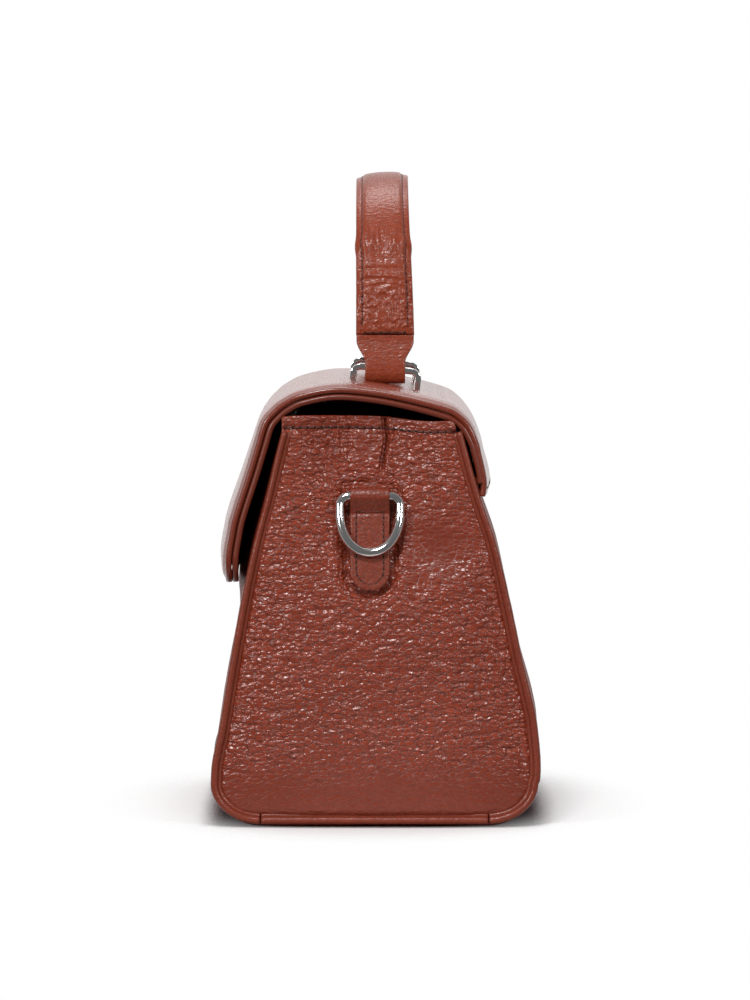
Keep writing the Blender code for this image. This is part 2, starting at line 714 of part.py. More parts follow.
def make_bridge(word, end, flap, finishes, parts, cutters):
    """A metal bridge, its backing plate inside the flap, and the two screws that join them."""
    route, stack, board_aside, layers = flap
    metal, steel = finishes
    frame = bridge_frame(route, stack, end * BRIDGE_X)
    leg_middle = (BRIDGE_SPAN - BRIDGE_LEG) / 2
    feet, tops = {}, {}
    for side in (FRONT, BACK):
        edges = [side * leg_middle + step * BRIDGE_LEG / 2 for step in (-1, 0, 1)]
        heights = [flap_height_at(route, stack, frame, edge) for edge in edges]
        feet[side] = max(heights) + GAP
        tops[side] = heights[1]
    bridge = outline_solid(f"bridge_{word}", bridge_outline(feet), BRIDGE_DEPTH, frame, metal, parts)

    ends = [
        route.distance_of(lambda point, y=BRIDGE_Y - side * (BRIDGE_SPAN / 2 + PLATE_OVERHANG): point.x <= y)
        for side in (FRONT, BACK)
    ]
    marks = spaced(min(ends), max(ends), 8)
    reach = (end * BRIDGE_X - PLATE_HALF_WIDTH, end * BRIDGE_X + PLATE_HALF_WIDTH)
    plate = flap_sheet(
        f"bridge_plate_{word}", route, marks, board_aside, 0.0, FLAP_BOARD_THICKNESS, steel, parts, reach, 2
    )
    marks = spaced(min(ends) - GAP, max(ends) + GAP, 8)
    reach = (reach[0] - GAP, reach[1] + GAP)
    window = flap_sheet(
        f"plate_window_{word}", route, marks, board_aside, 0.0, CUT_OVERRUN, steel, cutters, reach, 2
    )
    cut(layers["board"], window)

    turn = Matrix.Rotation(-math.pi / 2, 4, "X")
    for name, side in (("front", FRONT), ("back", BACK)):
        at = frame @ Matrix.Translation((side * leg_middle, tops[side], 0.0)) @ turn
        seat = -FLAP_OUTER_THICKNESS - FLAP_PLY_GAP - FLAP_BOARD_THICKNESS - SCREW_SEAT_GAP
        tip = feet[side] - tops[side] + SCREW_BITE
        profile = (
            (0.0, tip),
            (SCREW_RADIUS, tip),
            (SCREW_RADIUS, seat),
            (SCREW_HEAD_RADIUS, seat),
            (SCREW_HEAD_RADIUS, seat - SCREW_HEAD_HEIGHT),
            (0.0, seat - SCREW_HEAD_HEIGHT),
        )
        turned(f"bridge_screw_{name}_{word}", profile, at, steel, parts)
        bore_top = tip + GAP
        bore_low = -stack
        middle = at @ Matrix.Translation((0.0, 0.0, (bore_top + bore_low) / 2))
        bore = disc(
            f"screw_bore_{name}_{word}", SCREW_RADIUS + GAP, bore_top - bore_low, middle, steel, cutters, 12
        )
        for piece in (bridge, plate, layers["outer"]):
            cut(piece, bore)
        middle = at @ Matrix.Translation((0.0, 0.0, -stack + FLAP_LINING_THICKNESS / 2))
        well = disc(
            f"head_well_{name}_{word}", SCREW_HEAD_RADIUS + GAP, CUT_OVERRUN, middle, steel, cutters, 16
        )
        cut(layers["lining"], well)
    return frame


# The top of the handle, and how far the middle of each ply stands from the middle of the handle
HANDLE_TOP = FRONT_MOUTH_HEIGHT + HANDLE_RISE
CORE_THICKNESS = 2 * LOOP_PLY + GAP
PLY_ASIDE = CORE_THICKNESS / 2 + GAP + HANDLE_PLY / 2
HANDLE_HALF_THICKNESS = PLY_ASIDE + HANDLE_PLY / 2


def handle_route(bar_top):
    """The middle of the handle seen from the front, from its right foot over to its left foot."""
    foot = bar_top + HANDLE_FOOT_RISE
    rise = HANDLE_TOP - HANDLE_HALF_THICKNESS - foot
    points = []
    for angle in spaced(0.0, math.pi, 24):
        across, up = math.cos(angle), max(math.sin(angle), 0.0)
        x = math.copysign(abs(across) ** HANDLE_ARCH_SHARE, across) * BRIDGE_X
        points.append((x, foot + rise * up**HANDLE_ARCH_SHARE))
    return Route(points, fineness=6), foot


def handle_middle(z, foot):
    return BRIDGE_Y - HANDLE_LEAN * smooth_step((z - foot) / (HANDLE_TOP - foot))


def handle_half_width(z, foot):
    """Half the handle's width: shoulders at the foot, then a slow taper to the grip."""
    shoulder = math.sqrt(1 - (1 - clamp((z - foot) / HANDLE_SHOULDER, 0.0, 1.0)) ** 2)
    share = smooth_step((z - foot) / (HANDLE_TOP - foot))
    full = HANDLE_WIDTH + (HANDLE_GRIP_WIDTH - HANDLE_WIDTH) * share
    return (LOOP_WIDTH + (full - LOOP_WIDTH) * shoulder) / 2


def handle_sheet(name, route, foot, marks, aside, thickness, inset, finish, parts):
    def place(share, row):
        x, z = route.at(marks[row], aside)
        half = handle_half_width(route.at(marks[row]).y, foot) - inset
        return Vector((x, handle_middle(z, foot) + (2 * share - 1) * half, z))

    mesh = grid_mesh(name, 2, len(marks) - 1, place)
    return thicken(add_object(name, mesh, finish, parts), thickness)


def make_handle(route, foot, finishes, parts):
    """The two plies of the handle and the padded core between them."""
    leather, core_finish = finishes
    bend = [HANDLE_SHOULDER * (1 - math.cos(a)) for a in spaced(0.0, math.pi / 2, 3)]
    marks = bend[:-1] + spaced(HANDLE_SHOULDER, route.length - HANDLE_SHOULDER, 24)
    marks += [route.length - mark for mark in reversed(bend[:-1])]
    handle_sheet("handle_outer", route, foot, marks, PLY_ASIDE, HANDLE_PLY, 0.0, leather, parts)
    handle_sheet("handle_lining", route, foot, marks, -PLY_ASIDE, HANDLE_PLY, 0.0, leather, parts)
    core_foot = foot + (HANDLE_TOP - HANDLE_HALF_THICKNESS - foot) * CORE_HEIGHT_SHARE
    start = route.distance_of(lambda point: point.y >= core_foot)
    marks = spaced(start, route.length - start, 18)
    handle_sheet(
        "handle_core", route, foot, marks, 0.0, CORE_THICKNESS, CORE_SIDE_INSET, core_finish, parts
    )


def loop_path(route, bar_middle):
    """The loop's strap seen from the front: down one side of its stem, under the bar and up again."""
    aside = (LOOP_PLY + GAP) / 2
    marks = spaced(LOOP_STEM, 0.0, 8)
    down = [tuple(route.at(mark, aside)) for mark in marks]
    up = [tuple(route.at(mark, -aside)) for mark in reversed(marks)]
    tilt_room = LOOP_WIDTH / 2 * math.tan(abs(BRIDGE_TILT))
    bar_half = BRIDGE_BAR / 2 + tilt_room
    out = BRIDGE_DEPTH / 2 + 2 * GAP + LOOP_PLY / 2
    split = bar_half + 2 * out - 2 * LOOP_PLY
    drop = bar_half + LOOP_SLACK + GAP + LOOP_PLY / 2
    belly = drop - bar_half + BRIDGE_BAR / 2
    low = [(aside, split)]
    low += [(out * math.cos(a), -(drop - belly) - belly * math.sin(a)) for a in spaced(0.0, math.pi, 8)]
    low.append((-aside, split))
    low.insert(1, (out, bar_half))
    low.insert(-1, (-out, bar_half))
    return down + [(BRIDGE_X + x, bar_middle + z) for x, z in low] + up


def make_loop(word, end, route, foot, bar_middle, finish, parts):
    path = loop_path(route, bar_middle)

    def place(share, row):
        x, z = path[row]
        return Vector((end * x, handle_middle(z, foot) + (share - 0.5) * LOOP_WIDTH, z))

    mesh = grid_mesh(f"handle_loop_{word}", 2, len(path) - 1, place)
    thicken(add_object(f"handle_loop_{word}", mesh, finish, parts), LOOP_PLY)


def tab_seat(z):
    """How far out the gusset's face reaches behind the tab at height z."""
    edges = [gusset_puff(TAB_Y + side * TAB_WIDTH / 2, z) for side in (FRONT, 0, BACK)]
    return LENGTH / 2 - GUSSET_RECESS + max(edges) + GAP


def tab_path():
    """The tab seen from the front: up behind, over the ring's bar, and down in front."""
    round_in = TAB_WIDTH / 2 - GAP
    low = [TAB_BOTTOM_HEIGHT + round_in * (1 - math.cos(a)) for a in spaced(0.0, math.pi / 2, 4)]
    leg = low + spaced(low[-1], RING_BAR_HEIGHT - TAB_JOIN_DROP, 5)[1:]
    eye = RING_WIRE_RADIUS + GAP + TAB_THICKNESS / 2
    bar_x = tab_seat(RING_BAR_HEIGHT) + TAB_THICKNESS / 2 + eye
    front = TAB_THICKNESS * 1.5 + GAP
    path = [(tab_seat(z) + TAB_THICKNESS / 2, z) for z in leg]
    path += arc((bar_x, RING_BAR_HEIGHT), eye, 180, -40, steps=10)
    path += [(tab_seat(z) + front, z) for z in reversed(leg)]
    return path, bar_x


def ring_outline():
    """The ring in its own plane: a straight bar on top, rounded shoulders and a deep bow below."""
    straight = RING_HALF_WIDTH - RING_CORNER
    points = arc((straight, -RING_CORNER), RING_CORNER, 90, 0, steps=4)
    bow = RING_DROP - RING_SHOULDER_DROP
    for angle in spaced(0.0, math.pi, 14):
        points.append((RING_HALF_WIDTH * math.cos(angle), -RING_SHOULDER_DROP - bow * math.sin(angle)))
    points += arc((-straight, -RING_CORNER), RING_CORNER, 180, 90, steps=4)
    return points


def make_ring_and_tab(word, end, finishes, parts):
    """A strap ring hanging in its stitched tab on one gusset."""
    leather, metal = finishes
    path, bar_x = tab_path()
    round_in = TAB_WIDTH / 2 - GAP

    def place(share, row):
        x, z = path[row]
        fall = 1 - clamp((z - TAB_BOTTOM_HEIGHT) / round_in, 0.0, 1.0)
        half = GAP + round_in * math.sqrt(1 - fall**2)
        return Vector((end * x, TAB_Y + (2 * share - 1) * half, z))

    mesh = grid_mesh(f"ring_tab_{word}", 2, len(path) - 1, place)
    thicken(add_object(f"ring_tab_{word}", mesh, leather, parts), TAB_THICKNESS)

    foot = RING_BAR_HEIGHT - RING_DROP
    foot_x = tab_seat(foot) + 2 * TAB_THICKNESS + 2 * GAP + RING_WIRE_RADIUS
    hang = Vector((foot_x - bar_x, 0.0, foot - RING_BAR_HEIGHT)).normalized()
    points = []
    for y, drop in ring_outline():
        place_at = Vector((bar_x, TAB_Y + y, RING_BAR_HEIGHT)) - hang * drop
        points.append((end * place_at.x, place_at.y, place_at.z))
    tube(f"d_ring_{word}", points, RING_WIRE_RADIUS, metal, parts, closed=True)


def main():
    for obj in list(bpy.data.objects):
        bpy.data.objects.remove(obj)
    parts = bpy.data.collections.new("handbag")
    cutters = bpy.data.collections.new("cutters")
    cutters.hide_render = True
    for collection in (parts, cutters):
        bpy.context.scene.collection.children.link(collection)

    leather = material("grained_leather", (0.235, 0.052, 0.035), 0.42)
    smooth_leather = material("smooth_leather", (0.19, 0.036, 0.024), 0.45)
    lining = material("lining_cloth", (0.10, 0.055, 0.04), 0.85)
    board = material("stiffener_board", (0.30, 0.26, 0.21), 0.8)
    foam = material("handle_padding", (0.08, 0.08, 0.08), 0.9)
    metal = material("polished_nickel", (0.80, 0.79, 0.78), 0.12, 1.0)
    steel = material("plain_steel", (0.45, 0.45, 0.45), 0.35, 1.0)

    panels = make_panels(leather, board, parts)
    make_base(leather, board, parts)
    make_lining(lining, parts)
    make_piping(smooth_leather, parts)
    make_gussets(leather, lining, parts)
    flap = make_flap((leather, board, smooth_leather, steel), parts, cutters)
    route, stack = flap[0], flap[1]
    magnet_height = route.at(route.length - MAGNET_LIFT).y
    make_front_magnet(panels["front_board"], magnet_height, steel, parts, cutters)

    for word, end in SIDES:
        frame = make_bridge(word, end, flap, (metal, steel), parts, cutters)
    bar_top = (frame @ Vector((0.0, BRIDGE_RISE, 0.0))).z
    bar_middle = (frame @ Vector((0.0, BRIDGE_RISE - BRIDGE_BAR / 2, 0.0))).z
    arch, foot = handle_route(bar_top)
    make_handle(arch, foot, (leather, foam), parts)
    for word, end in SIDES:
        make_loop(word, end, arch, foot, bar_middle, leather, parts)
        make_ring_and_tab(word, end, (smooth_leather, metal), parts)


main()
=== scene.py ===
import bisect
import math

import bmesh
import bpy
from bpy.props import FloatProperty, FloatVectorProperty, PointerProperty
from mathutils import Matrix, Vector, noise


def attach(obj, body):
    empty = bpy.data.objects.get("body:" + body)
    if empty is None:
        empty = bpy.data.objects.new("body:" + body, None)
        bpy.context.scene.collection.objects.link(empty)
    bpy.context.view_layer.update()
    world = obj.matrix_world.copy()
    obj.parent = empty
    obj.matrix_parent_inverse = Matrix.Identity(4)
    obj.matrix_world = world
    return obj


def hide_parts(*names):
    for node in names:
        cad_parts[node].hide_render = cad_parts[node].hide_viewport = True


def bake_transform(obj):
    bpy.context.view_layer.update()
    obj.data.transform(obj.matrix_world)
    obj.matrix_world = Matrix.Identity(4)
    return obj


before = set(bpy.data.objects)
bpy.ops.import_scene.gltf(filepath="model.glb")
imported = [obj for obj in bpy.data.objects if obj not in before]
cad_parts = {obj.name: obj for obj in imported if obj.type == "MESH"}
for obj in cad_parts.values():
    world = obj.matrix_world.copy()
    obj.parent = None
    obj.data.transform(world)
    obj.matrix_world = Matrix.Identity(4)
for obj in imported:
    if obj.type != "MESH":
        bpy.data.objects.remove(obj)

bl_info = {
    "name": "Top-handle satchel",
    "version": (1, 0, 0),
    "blender": (4, 5, 0),
    "location": "3D View > Sidebar > Satchel",
    "description": "Dresses the solid model of a small leather satchel with its leather, stitches and metal",
    "category": "Object",
}

SIDES = (("right", 1), ("left", -1))
FRONT, BACK = -1, 1
MM = 0.001
GAP = 0.0003
CLOUD_SIZE = 0.035

# Width of the stitches across their row
STITCH_WIDTH = 0.80 * MM
HEM_STITCH_WIDTH = 1.1 * MM
TAB_STITCH_WIDTH = 0.68 * MM
TAB_STITCH_PITCH = 2.5 * MM

# Body: shares of its depth at shares of its height, its lean, and how far its sewn ends stand out at heights
WIDEST_HEIGHT = 0.017
CORNER_REACH = 0.0185
LEAN = 0.001
SIDE_SHARES = (
    (0.0, 1.0), (0.06, 0.983), (0.13, 0.915), (0.36, 0.712),
    (0.63, 0.447), (0.78, 0.264), (0.92, 0.10), (1.0, 0.0),
)
SWELL_HEIGHT = 0.178
FLATTER = {FRONT: (0.094, 0.010, 0.48), BACK: (0.150, 0.016, 0.6)}
FULLER = {
    BACK: (
        (0.0, 0.0), (0.012, 0.0), (0.019, 0.0008), (0.027, 0.0016), (0.035, 0.0027), (0.043, 0.0033),
        (0.052, 0.0031), (0.066, 0.0025), (0.098, 0.0024), (0.114, 0.0022), (0.123, 0.0015), (0.132, 0.0008),
        (0.145, 0.0002), (0.162, 0.0),
    ),
    FRONT: (
        (0.0, 0.0), (0.02, 0.0), (0.03, -0.0003), (0.045, -0.0006), (0.085, -0.0006), (0.10, -0.0003),
        (0.115, 0.0), (0.162, 0.0),
    ),
}
PANEL_PROUD = 0.0003
PANEL_THICKNESS = 0.0016
WALL_TUCKS = (3.6 * MM, 2.5 * MM, 1.5 * MM, 0.8 * MM)
PANEL_BULGE = 0.0022
PANEL_TOP_DROP = 0.0014
BOARD_INSET = 4 * MM
CARD_THICKNESS = 0.5 * MM
BASE_SEAM_HEIGHT = 0.024
SEAM_STITCH_ASIDE = 2.3 * MM
BACK_MOUTH_DROP = 0.006
PIPING_HEIGHT = 0.0025
PIPING_JOINT = 0.0006
PIPING_DRAWN_IN = 0.0007
PIPING_TOP_DROP = 0.0045

# Gussets: each line of FOLD_LINES is a fold's place beside the left one, its depth and its width in millimetres
GUSSET_RECESS = 0.0006
GUSSET_THICKNESS = 0.0014
LINING_THICKNESS = 0.7 * MM
GUSSET_BELLY = 0.0035
GUSSET_VALLEY = 0.0072
HEM_WIDTH = 0.0041
HEM_EDGE = (
    (-0.0368, 0.1622), (-0.0350, 0.1627), (-0.0274, 0.1630), (-0.0120, 0.1629), (0.0018, 0.1626),
    (0.0057, 0.1623), (0.0097, 0.1618), (0.0156, 0.1610), (0.0227, 0.1606), (0.0284, 0.1608), (0.0322, 0.1603),
)
HEM_HALF_DEPTH = 0.0357
HEM_CORNER_HEIGHT = 0.0085
FOLD_LEFT = -0.0105
FOLD_RIGHT = 0.0041
CREASE_DEPTH = 2.3 * MM
CREASE_WIDTH = 0.5 * MM
FOLD_LINES = ((0.0, 0.6, 0.9), (-2.4, 0.32, 0.7), (2.2, 0.34, 0.7), (-5.0, 0.2, 0.8))
TAB_FOLD_HEIGHT = 0.1375
GUSSET_SEED = 3.0
GUSSET_TUCKS = (2.4 * MM, 1.6 * MM, 0.8 * MM)

# Flap: shares of the line that it follows over the mouth
FLAP_RISE = 0.0105
FLAP_SEAM_DROP = 0.030
FLAP_STACK = 0.0038
FLAP_FRONT_AIR = 0.0056
FLAP_BACK_AIR = 0.0002
FLAP_END_INSET = 0.001
FLAP_CORNER = 0.011
FLAP_SWELL_LOSS = 0.35
FLAP_RIM_GROWTH = 0.0006
FLAP_ROLL = 0.0034
FLAP_ROLL_RISE = 0.0011
FLAP_CROWN = 0.0005
FLAP_SAG = 0.0033
FLAP_LINING_LIFT = 0.004
FLAP_TOP_SHARES = (
    (1.06, -0.27), (0.93, 0.105), (0.81, 0.28), (0.42, 0.62), (0.0, 0.886),
    (-0.456, 1.0), (-0.84, 0.78), (-1.03, 0.486), (-1.13, 0.22),
)
FLAP_BACK_SHARES = ((0.20, 0.85), (0.42, 1.0), (0.66, 1.0), (0.86, 0.98))
FLAP_FRONT_SHARES = (
    (0.97, 0.69), (0.84, 0.74), (0.67, 0.81), (0.41, 0.95), (0.28, 0.91), (0.146, 0.83), (0.0, 0.57),
)

# Bridges, handle and loops
BRIDGE_X = 0.055
BRIDGE_Y = 0.0043
BRIDGE_TILT = math.radians(-5.5)
BRIDGE_SPAN = 0.029
BRIDGE_DEPTH = 0.005
BRIDGE_LEG = 0.0028
BRIDGE_BAR = 0.0024
BRIDGE_CORNER = 0.0043
BRIDGE_RISE = 0.0092
HANDLE_FOOT_RISE = 0.0080
HANDLE_PLY = 0.0012
HANDLE_LEAN = 0.0012
HANDLE_SHOULDER = 0.0055
HANDLE_ARCH_SHARE = 0.83
CORE_SHARE = 0.60
LOOP_PLY = 0.001
LOOP_WIDTH = 0.0162
LOOP_SLACK = 0.0024
LOOP_STEM = 0.012
STRAP_NECK = 0.1822
STRAP_SHOULDER = 0.1910

# Ring and tab
RING_WIRE = 0.0019
RING_HALF = 0.0119
RING_DROP = 0.0227
RING_CORNER = 0.0039
RING_BAR_HEIGHT = 0.1312
RING_SHOULDER_DROP = 0.0075
TAB_Y = -0.0018
TAB_WIDTH = 0.0156
TAB_THICKNESS = 0.0013
TAB_BOTTOM = 0.0941
TAB_JOIN_DROP = 0.0065
TAB_STITCH_INSET = 2.4 * MM
TAB_STITCH_TOP = 0.1252


class SatchelSizes(bpy.types.PropertyGroup):
    length: FloatProperty(
        name="Length", description="From end to end, over the piping", default=0.250, min=0.1, unit="LENGTH"
    )
    base_half_depth: FloatProperty(
        name="Half depth", description="Half the depth at the widest height", default=0.0635, unit="LENGTH"
    )
    mouth_half_depth: FloatProperty(
        name="Half mouth", description="Half the depth at the mouth", default=0.034, unit="LENGTH"
    )
    mouth_height: FloatProperty(
        name="Mouth height", description="Height of the front of the mouth", default=0.161, unit="LENGTH"
    )
    flap_end_drop: FloatProperty(
        name="Flap drop", description="From the mouth down to the flap's free edge", default=0.0645, unit="LENGTH"
    )
    handle_rise: FloatProperty(
        name="Handle rise", description="From the mouth up to the top of the handle", default=0.098, unit="LENGTH"
    )
    handle_width: FloatProperty(
        name="Handle width", description="Width of the handle at its ends", default=0.0239, unit="LENGTH"
    )
    grip_width: FloatProperty(
        name="Grip width", description="Width of the handle at its top", default=0.0214, unit="LENGTH"
    )
    piping_radius: FloatProperty(
        name="Piping radius", description="Radius of the piping cord", default=0.0015, unit="LENGTH"
    )
    swell: FloatProperty(
        name="Swell", description="How far the long sides stand out at mid-length", default=0.004, unit="LENGTH"
    )
    pebble: FloatProperty(
        name="Pebble", description="Width of one pebble of the leather's grain", default=0.0019, unit="LENGTH"
    )
    stitch_pitch: FloatProperty(
        name="Stitch pitch", description="From one stitch to the next", default=0.0031, unit="LENGTH"
    )


class SatchelColours(bpy.types.PropertyGroup):
    leather: FloatVectorProperty(
        name="Leather", description="The pebbled leather", default=(0.205, 0.029, 0.011), subtype="COLOR"
    )
    trim: FloatVectorProperty(
        name="Trim", description="The smoother leather of piping, hems and tabs", default=(0.175, 0.027, 0.011),
        subtype="COLOR",
    )
    thread: FloatVectorProperty(
        name="Thread", description="The sewing thread", default=(0.095, 0.016, 0.008), subtype="COLOR"
    )
    lining: FloatVectorProperty(
        name="Lining", description="The compartment's cloth", default=(0.10, 0.055, 0.04), subtype="COLOR"
    )
    # Partly painted reflection: besides nickel's own warm tone, the metal colour carries a pinkish tint for the brown
    # leather that the metal reflects
    metal: FloatVectorProperty(
        name="Metal", description="Rings and bridges", default=(0.78, 0.71, 0.675), subtype="COLOR"
    )


class SatchelStudio(bpy.types.PropertyGroup):
    side_power: FloatProperty(
        name="Side lamps", description="Power of the lamps beside the camera", default=26.0, unit="POWER"
    )
    top_power: FloatProperty(
        name="Top lamp", description="Power of the lamp overhead", default=15.0, unit="POWER"
    )
    ambient: FloatProperty(
        name="Ambient", description="Light of the room on every side", default=0.20, min=0.0, max=1.0
    )
    backdrop: FloatProperty(
        name="Backdrop", description="Brightness of the backdrop in reflections", default=1.0, min=0.0, max=1.0
    )
    behind_camera: FloatProperty(
        name="Behind camera", description="Brightness behind the camera in reflections", default=0.14, min=0.0, max=1.0
    )


def clamp(value, low=0.0, high=1.0):
    return max(low, min(high, value))


def smooth(value):
    share = clamp(value)
    return share * share * (3 - 2 * share)


def fade(distance, reach):
    """1 at no distance, falling smoothly to 0 at the reach."""
    return 1 - smooth(abs(distance) / reach)


def spaced(start, end, steps):
    return [start + (end - start) * i / steps for i in range(steps + 1)]


def curve_through(table, share):
    """The value at share on a smooth curve through rows of (share, value)."""
    last = len(table) - 1
    row = max(i for i in range(last) if i == 0 or table[i][0] <= share)
    (x0, y0), (x1, y1) = table[row], table[row + 1]
    before, after = table[max(row - 1, 0)], table[min(row + 2, last)]
    span = x1 - x0
    slope0 = (y1 - before[1]) / (x1 - before[0]) * span
    slope1 = (after[1] - y0) / (after[0] - x0) * span
    t = (share - x0) / span
    return (
        (2 * t**3 - 3 * t**2 + 1) * y0
        + (t**3 - 2 * t**2 + t) * slope0
        + (3 * t**2 - 2 * t**3) * y1
        + (t**3 - t**2) * slope1
    )


def arc(centre, radius, start, end, steps):
    """Points on an arc between two angles in degrees."""
    return [
        (centre[0] + radius * math.cos(a), centre[1] + radius * math.sin(a))
        for a in spaced(math.radians(start), math.radians(end), steps)
    ]


class Route:
    """A smooth line through points in a plane, measured by distance along it."""

    def __init__(self, points, fineness=12):
        self.points = []
        for i in range(len(points) - 1):
            four = [points[max(i - 1, 0)], points[i], points[i + 1], points[min(i + 2, len(points) - 1)]]
            for step in range(fineness):
                self.points.append(self.between([Vector(p) for p in four], step / fineness))
        self.points.append(Vector(points[-1]))
        self.marks = [0.0]
        for a, b in zip(self.points, self.points[1:]):
            self.marks.append(self.marks[-1] + (b - a).length)
        self.length = self.marks[-1]

    @staticmethod
    def between(four, t):
        p0, p1, p2, p3 = four
        return 0.5 * (
            2 * p1 + (p2 - p0) * t + (2 * p0 - 5 * p1 + 4 * p2 - p3) * t**2 + (3 * p1 - p0 - 3 * p2 + p3) * t**3
        )

    def at(self, distance, aside=0.0):
        """The point at a distance along, moved aside to the right of the way of travel."""
        last = len(self.points) - 2
        i = int(clamp(bisect.bisect_right(self.marks, distance) - 1, 0, last))
        step = self.points[i + 1] - self.points[i]
        share = (distance - self.marks[i]) / (self.marks[i + 1] - self.marks[i])
        ahead = self.points[min(i + 2, last + 1)] - self.points[i]
        behind = self.points[i + 1] - self.points[max(i - 1, 0)]
        way = behind.normalized() * (1 - share) + ahead.normalized() * share
        across = Vector((way.y, -way.x)).normalized()
        return self.points[i] + step * share + across * aside

    def distance_of(self, test):
        """The first distance whose point passes the test."""
        return next(mark for mark, point in zip(self.marks, self.points) if test(point))


class Satchel:
    """The bag's shape: its outline from the end, its swell, and the lines that flap and handle follow."""

    def __init__(self, context):
        sizes = context.scene.satchel_sizes
        self.sizes = sizes
        self.length = sizes.length
        self.depth = sizes.base_half_depth
        self.mouth = sizes.mouth_half_depth
        self.height = sizes.mouth_height
        self.piping = sizes.piping_radius
        self.swell_most = sizes.swell
        self.panel_end = self.length / 2 - 2 * self.piping - GAP
        self.handle_top = self.height + sizes.handle_rise
        self.width = sizes.handle_width
        self.grip = sizes.grip_width

    def height_share(self, z):
        return clamp((z - WIDEST_HEIGHT) / (self.height - WIDEST_HEIGHT))

    def lean(self, z):
        return -LEAN * smooth(2 * self.height_share(z))

    def half_depth(self, z, inset=0.0):
        """Half the body's depth at height z, an inset in from the middle of the piping."""
        if z < WIDEST_HEIGHT:
            fall = (WIDEST_HEIGHT - z) / (WIDEST_HEIGHT - PIPING_HEIGHT - inset)
            return self.depth - CORNER_REACH + (CORNER_REACH - inset) * math.sqrt(max(1 - fall**2, 0.0))
        spread = curve_through(SIDE_SHARES, self.height_share(z))
        return self.mouth + (self.depth - self.mouth) * spread - inset

    def fuller(self, side, z):
        """How far the sewn end stands out beyond the plain shape, more at the back."""
        return curve_through(FULLER[side], clamp(z, 0.0, 0.162))

    def side_y(self, side, z, outward=0.0):
        return side * (self.half_depth(z) + outward) + self.lean(z)

    def swell(self, x, y, z):
        along = 1 - (2 * x / self.length) ** 2
        up = math.sin(math.pi * clamp(z / SWELL_HEIGHT))
        return self.swell_most * along * up * clamp(y / (self.depth - CORNER_REACH), -1.0, 1.0)

    def flatter(self, y, z):
        """The share of the swell that the sewn walls keep: less at mid-height, where the ends stand out."""
        height, reach, share = FLATTER[FRONT if y < 0 else BACK]
        return 1 - share * smooth((height - z) / reach) * smooth((z - 0.032) / 0.045)

    def wall(self, side, low, high, outward, steps):
        """Points up one long side, from height low to high, in the end view."""
        return [(self.side_y(side, z, outward + self.fuller(side, z)), z) for z in spaced(low, high, steps)]

    def corner(self, side, outward, bottom, steps):
        """The rounded lower corner, from the flat base up to the widest height."""
        middle = self.depth - CORNER_REACH
        turned = []
        for angle in spaced(0.0, math.pi / 2, steps):
            y = middle + (CORNER_REACH + outward) * math.sin(angle)
            turned.append((side * y, WIDEST_HEIGHT - (WIDEST_HEIGHT - bottom) * math.cos(angle)))
        return turned

    def flap_route(self):
        """The middle of the flap's thickness in the end view, from the back seam to the free edge."""
        clear = self.piping + GAP + FLAP_STACK / 2
        seam = self.height - FLAP_SEAM_DROP
        end = self.height - self.sizes.flap_end_drop
        back_mouth = self.height - BACK_MOUTH_DROP
        points = [(self.side_y(BACK, seam, 0.0015), seam)]
        for up, out in FLAP_BACK_SHARES:
            z = seam + (back_mouth - seam) * up
            points.append((self.side_y(BACK, z, (clear + FLAP_BACK_AIR) * out), z))
        for across, up in FLAP_TOP_SHARES:
            points.append((self.mouth * across, self.height + FLAP_RISE * up))
        for up, out in FLAP_FRONT_SHARES:
            z = end + (self.height - end) * up
            points.append((self.side_y(FRONT, z, (clear + FLAP_FRONT_AIR) * out), z))
        return Route(points)

    def on_flap(self, route, mark, x, aside):
        """A point of the flap, which swells with the back panel but less and less towards its free edge."""
        y, z = route.at(mark, aside)
        share = 1 - FLAP_SWELL_LOSS * smooth((0.03 - y) / 0.06)
        return Vector((x, y + self.swell(x, y, z) * share, z))

    def bridge_frame(self, route, end):
        """The plane that a bridge stands in: X along it towards the back, Y up, Z along the bag."""
        mark = route.distance_of(lambda point: point.x <= BRIDGE_Y)
        y, z = route.at(mark, FLAP_STACK / 2)
        upright = Matrix(((0, 0, 1, 0), (1, 0, 0, 0), (0, 1, 0, 0), (0, 0, 0, 1)))
        return Matrix.Translation((end * BRIDGE_X, y, z)) @ Matrix.Rotation(BRIDGE_TILT, 4, "X") @ upright

    def handle_route(self):
        """The middle of the handle seen from the front, from its right foot over to its left foot."""
        frame_here = self.bridge_frame(self.flap_route(), 1)
        self.bar = (frame_here @ Vector((0.0, BRIDGE_RISE - BRIDGE_BAR / 2, 0.0))).z
        self.foot = (frame_here @ Vector((0.0, BRIDGE_RISE, 0.0))).z + HANDLE_FOOT_RISE
        rise = self.handle_top - PLY_ASIDE - HANDLE_PLY / 2 - self.foot
        points = []
        for angle in spaced(0.0, math.pi, 24):
            across, up = math.cos(angle), max(math.sin(angle), 0.0)
            x = math.copysign(abs(across) ** HANDLE_ARCH_SHARE, across) * BRIDGE_X
            points.append((x, self.foot + rise * up**HANDLE_ARCH_SHARE))
        return Route(points, fineness=6)

    def handle_middle(self, z):
        return BRIDGE_Y - HANDLE_LEAN * smooth((z - self.foot) / (self.handle_top - self.foot))

    def handle_half(self, z):
        """Half the handle's width: shoulders at the foot, then a slow taper to the grip."""
        shoulder = math.sqrt(1 - (1 - clamp((z - self.foot) / HANDLE_SHOULDER)) ** 2)
        share = smooth((z - self.foot) / (self.handle_top - self.foot))
        full = self.width + (self.grip - self.width) * share
        return (LOOP_WIDTH + (full - LOOP_WIDTH) * shoulder) / 2


# How far the middle of each handle ply stands from the middle of the handle
CORE_THICKNESS = 2 * LOOP_PLY + GAP
PLY_ASIDE = CORE_THICKNESS / 2 + GAP + HANDLE_PLY / 2


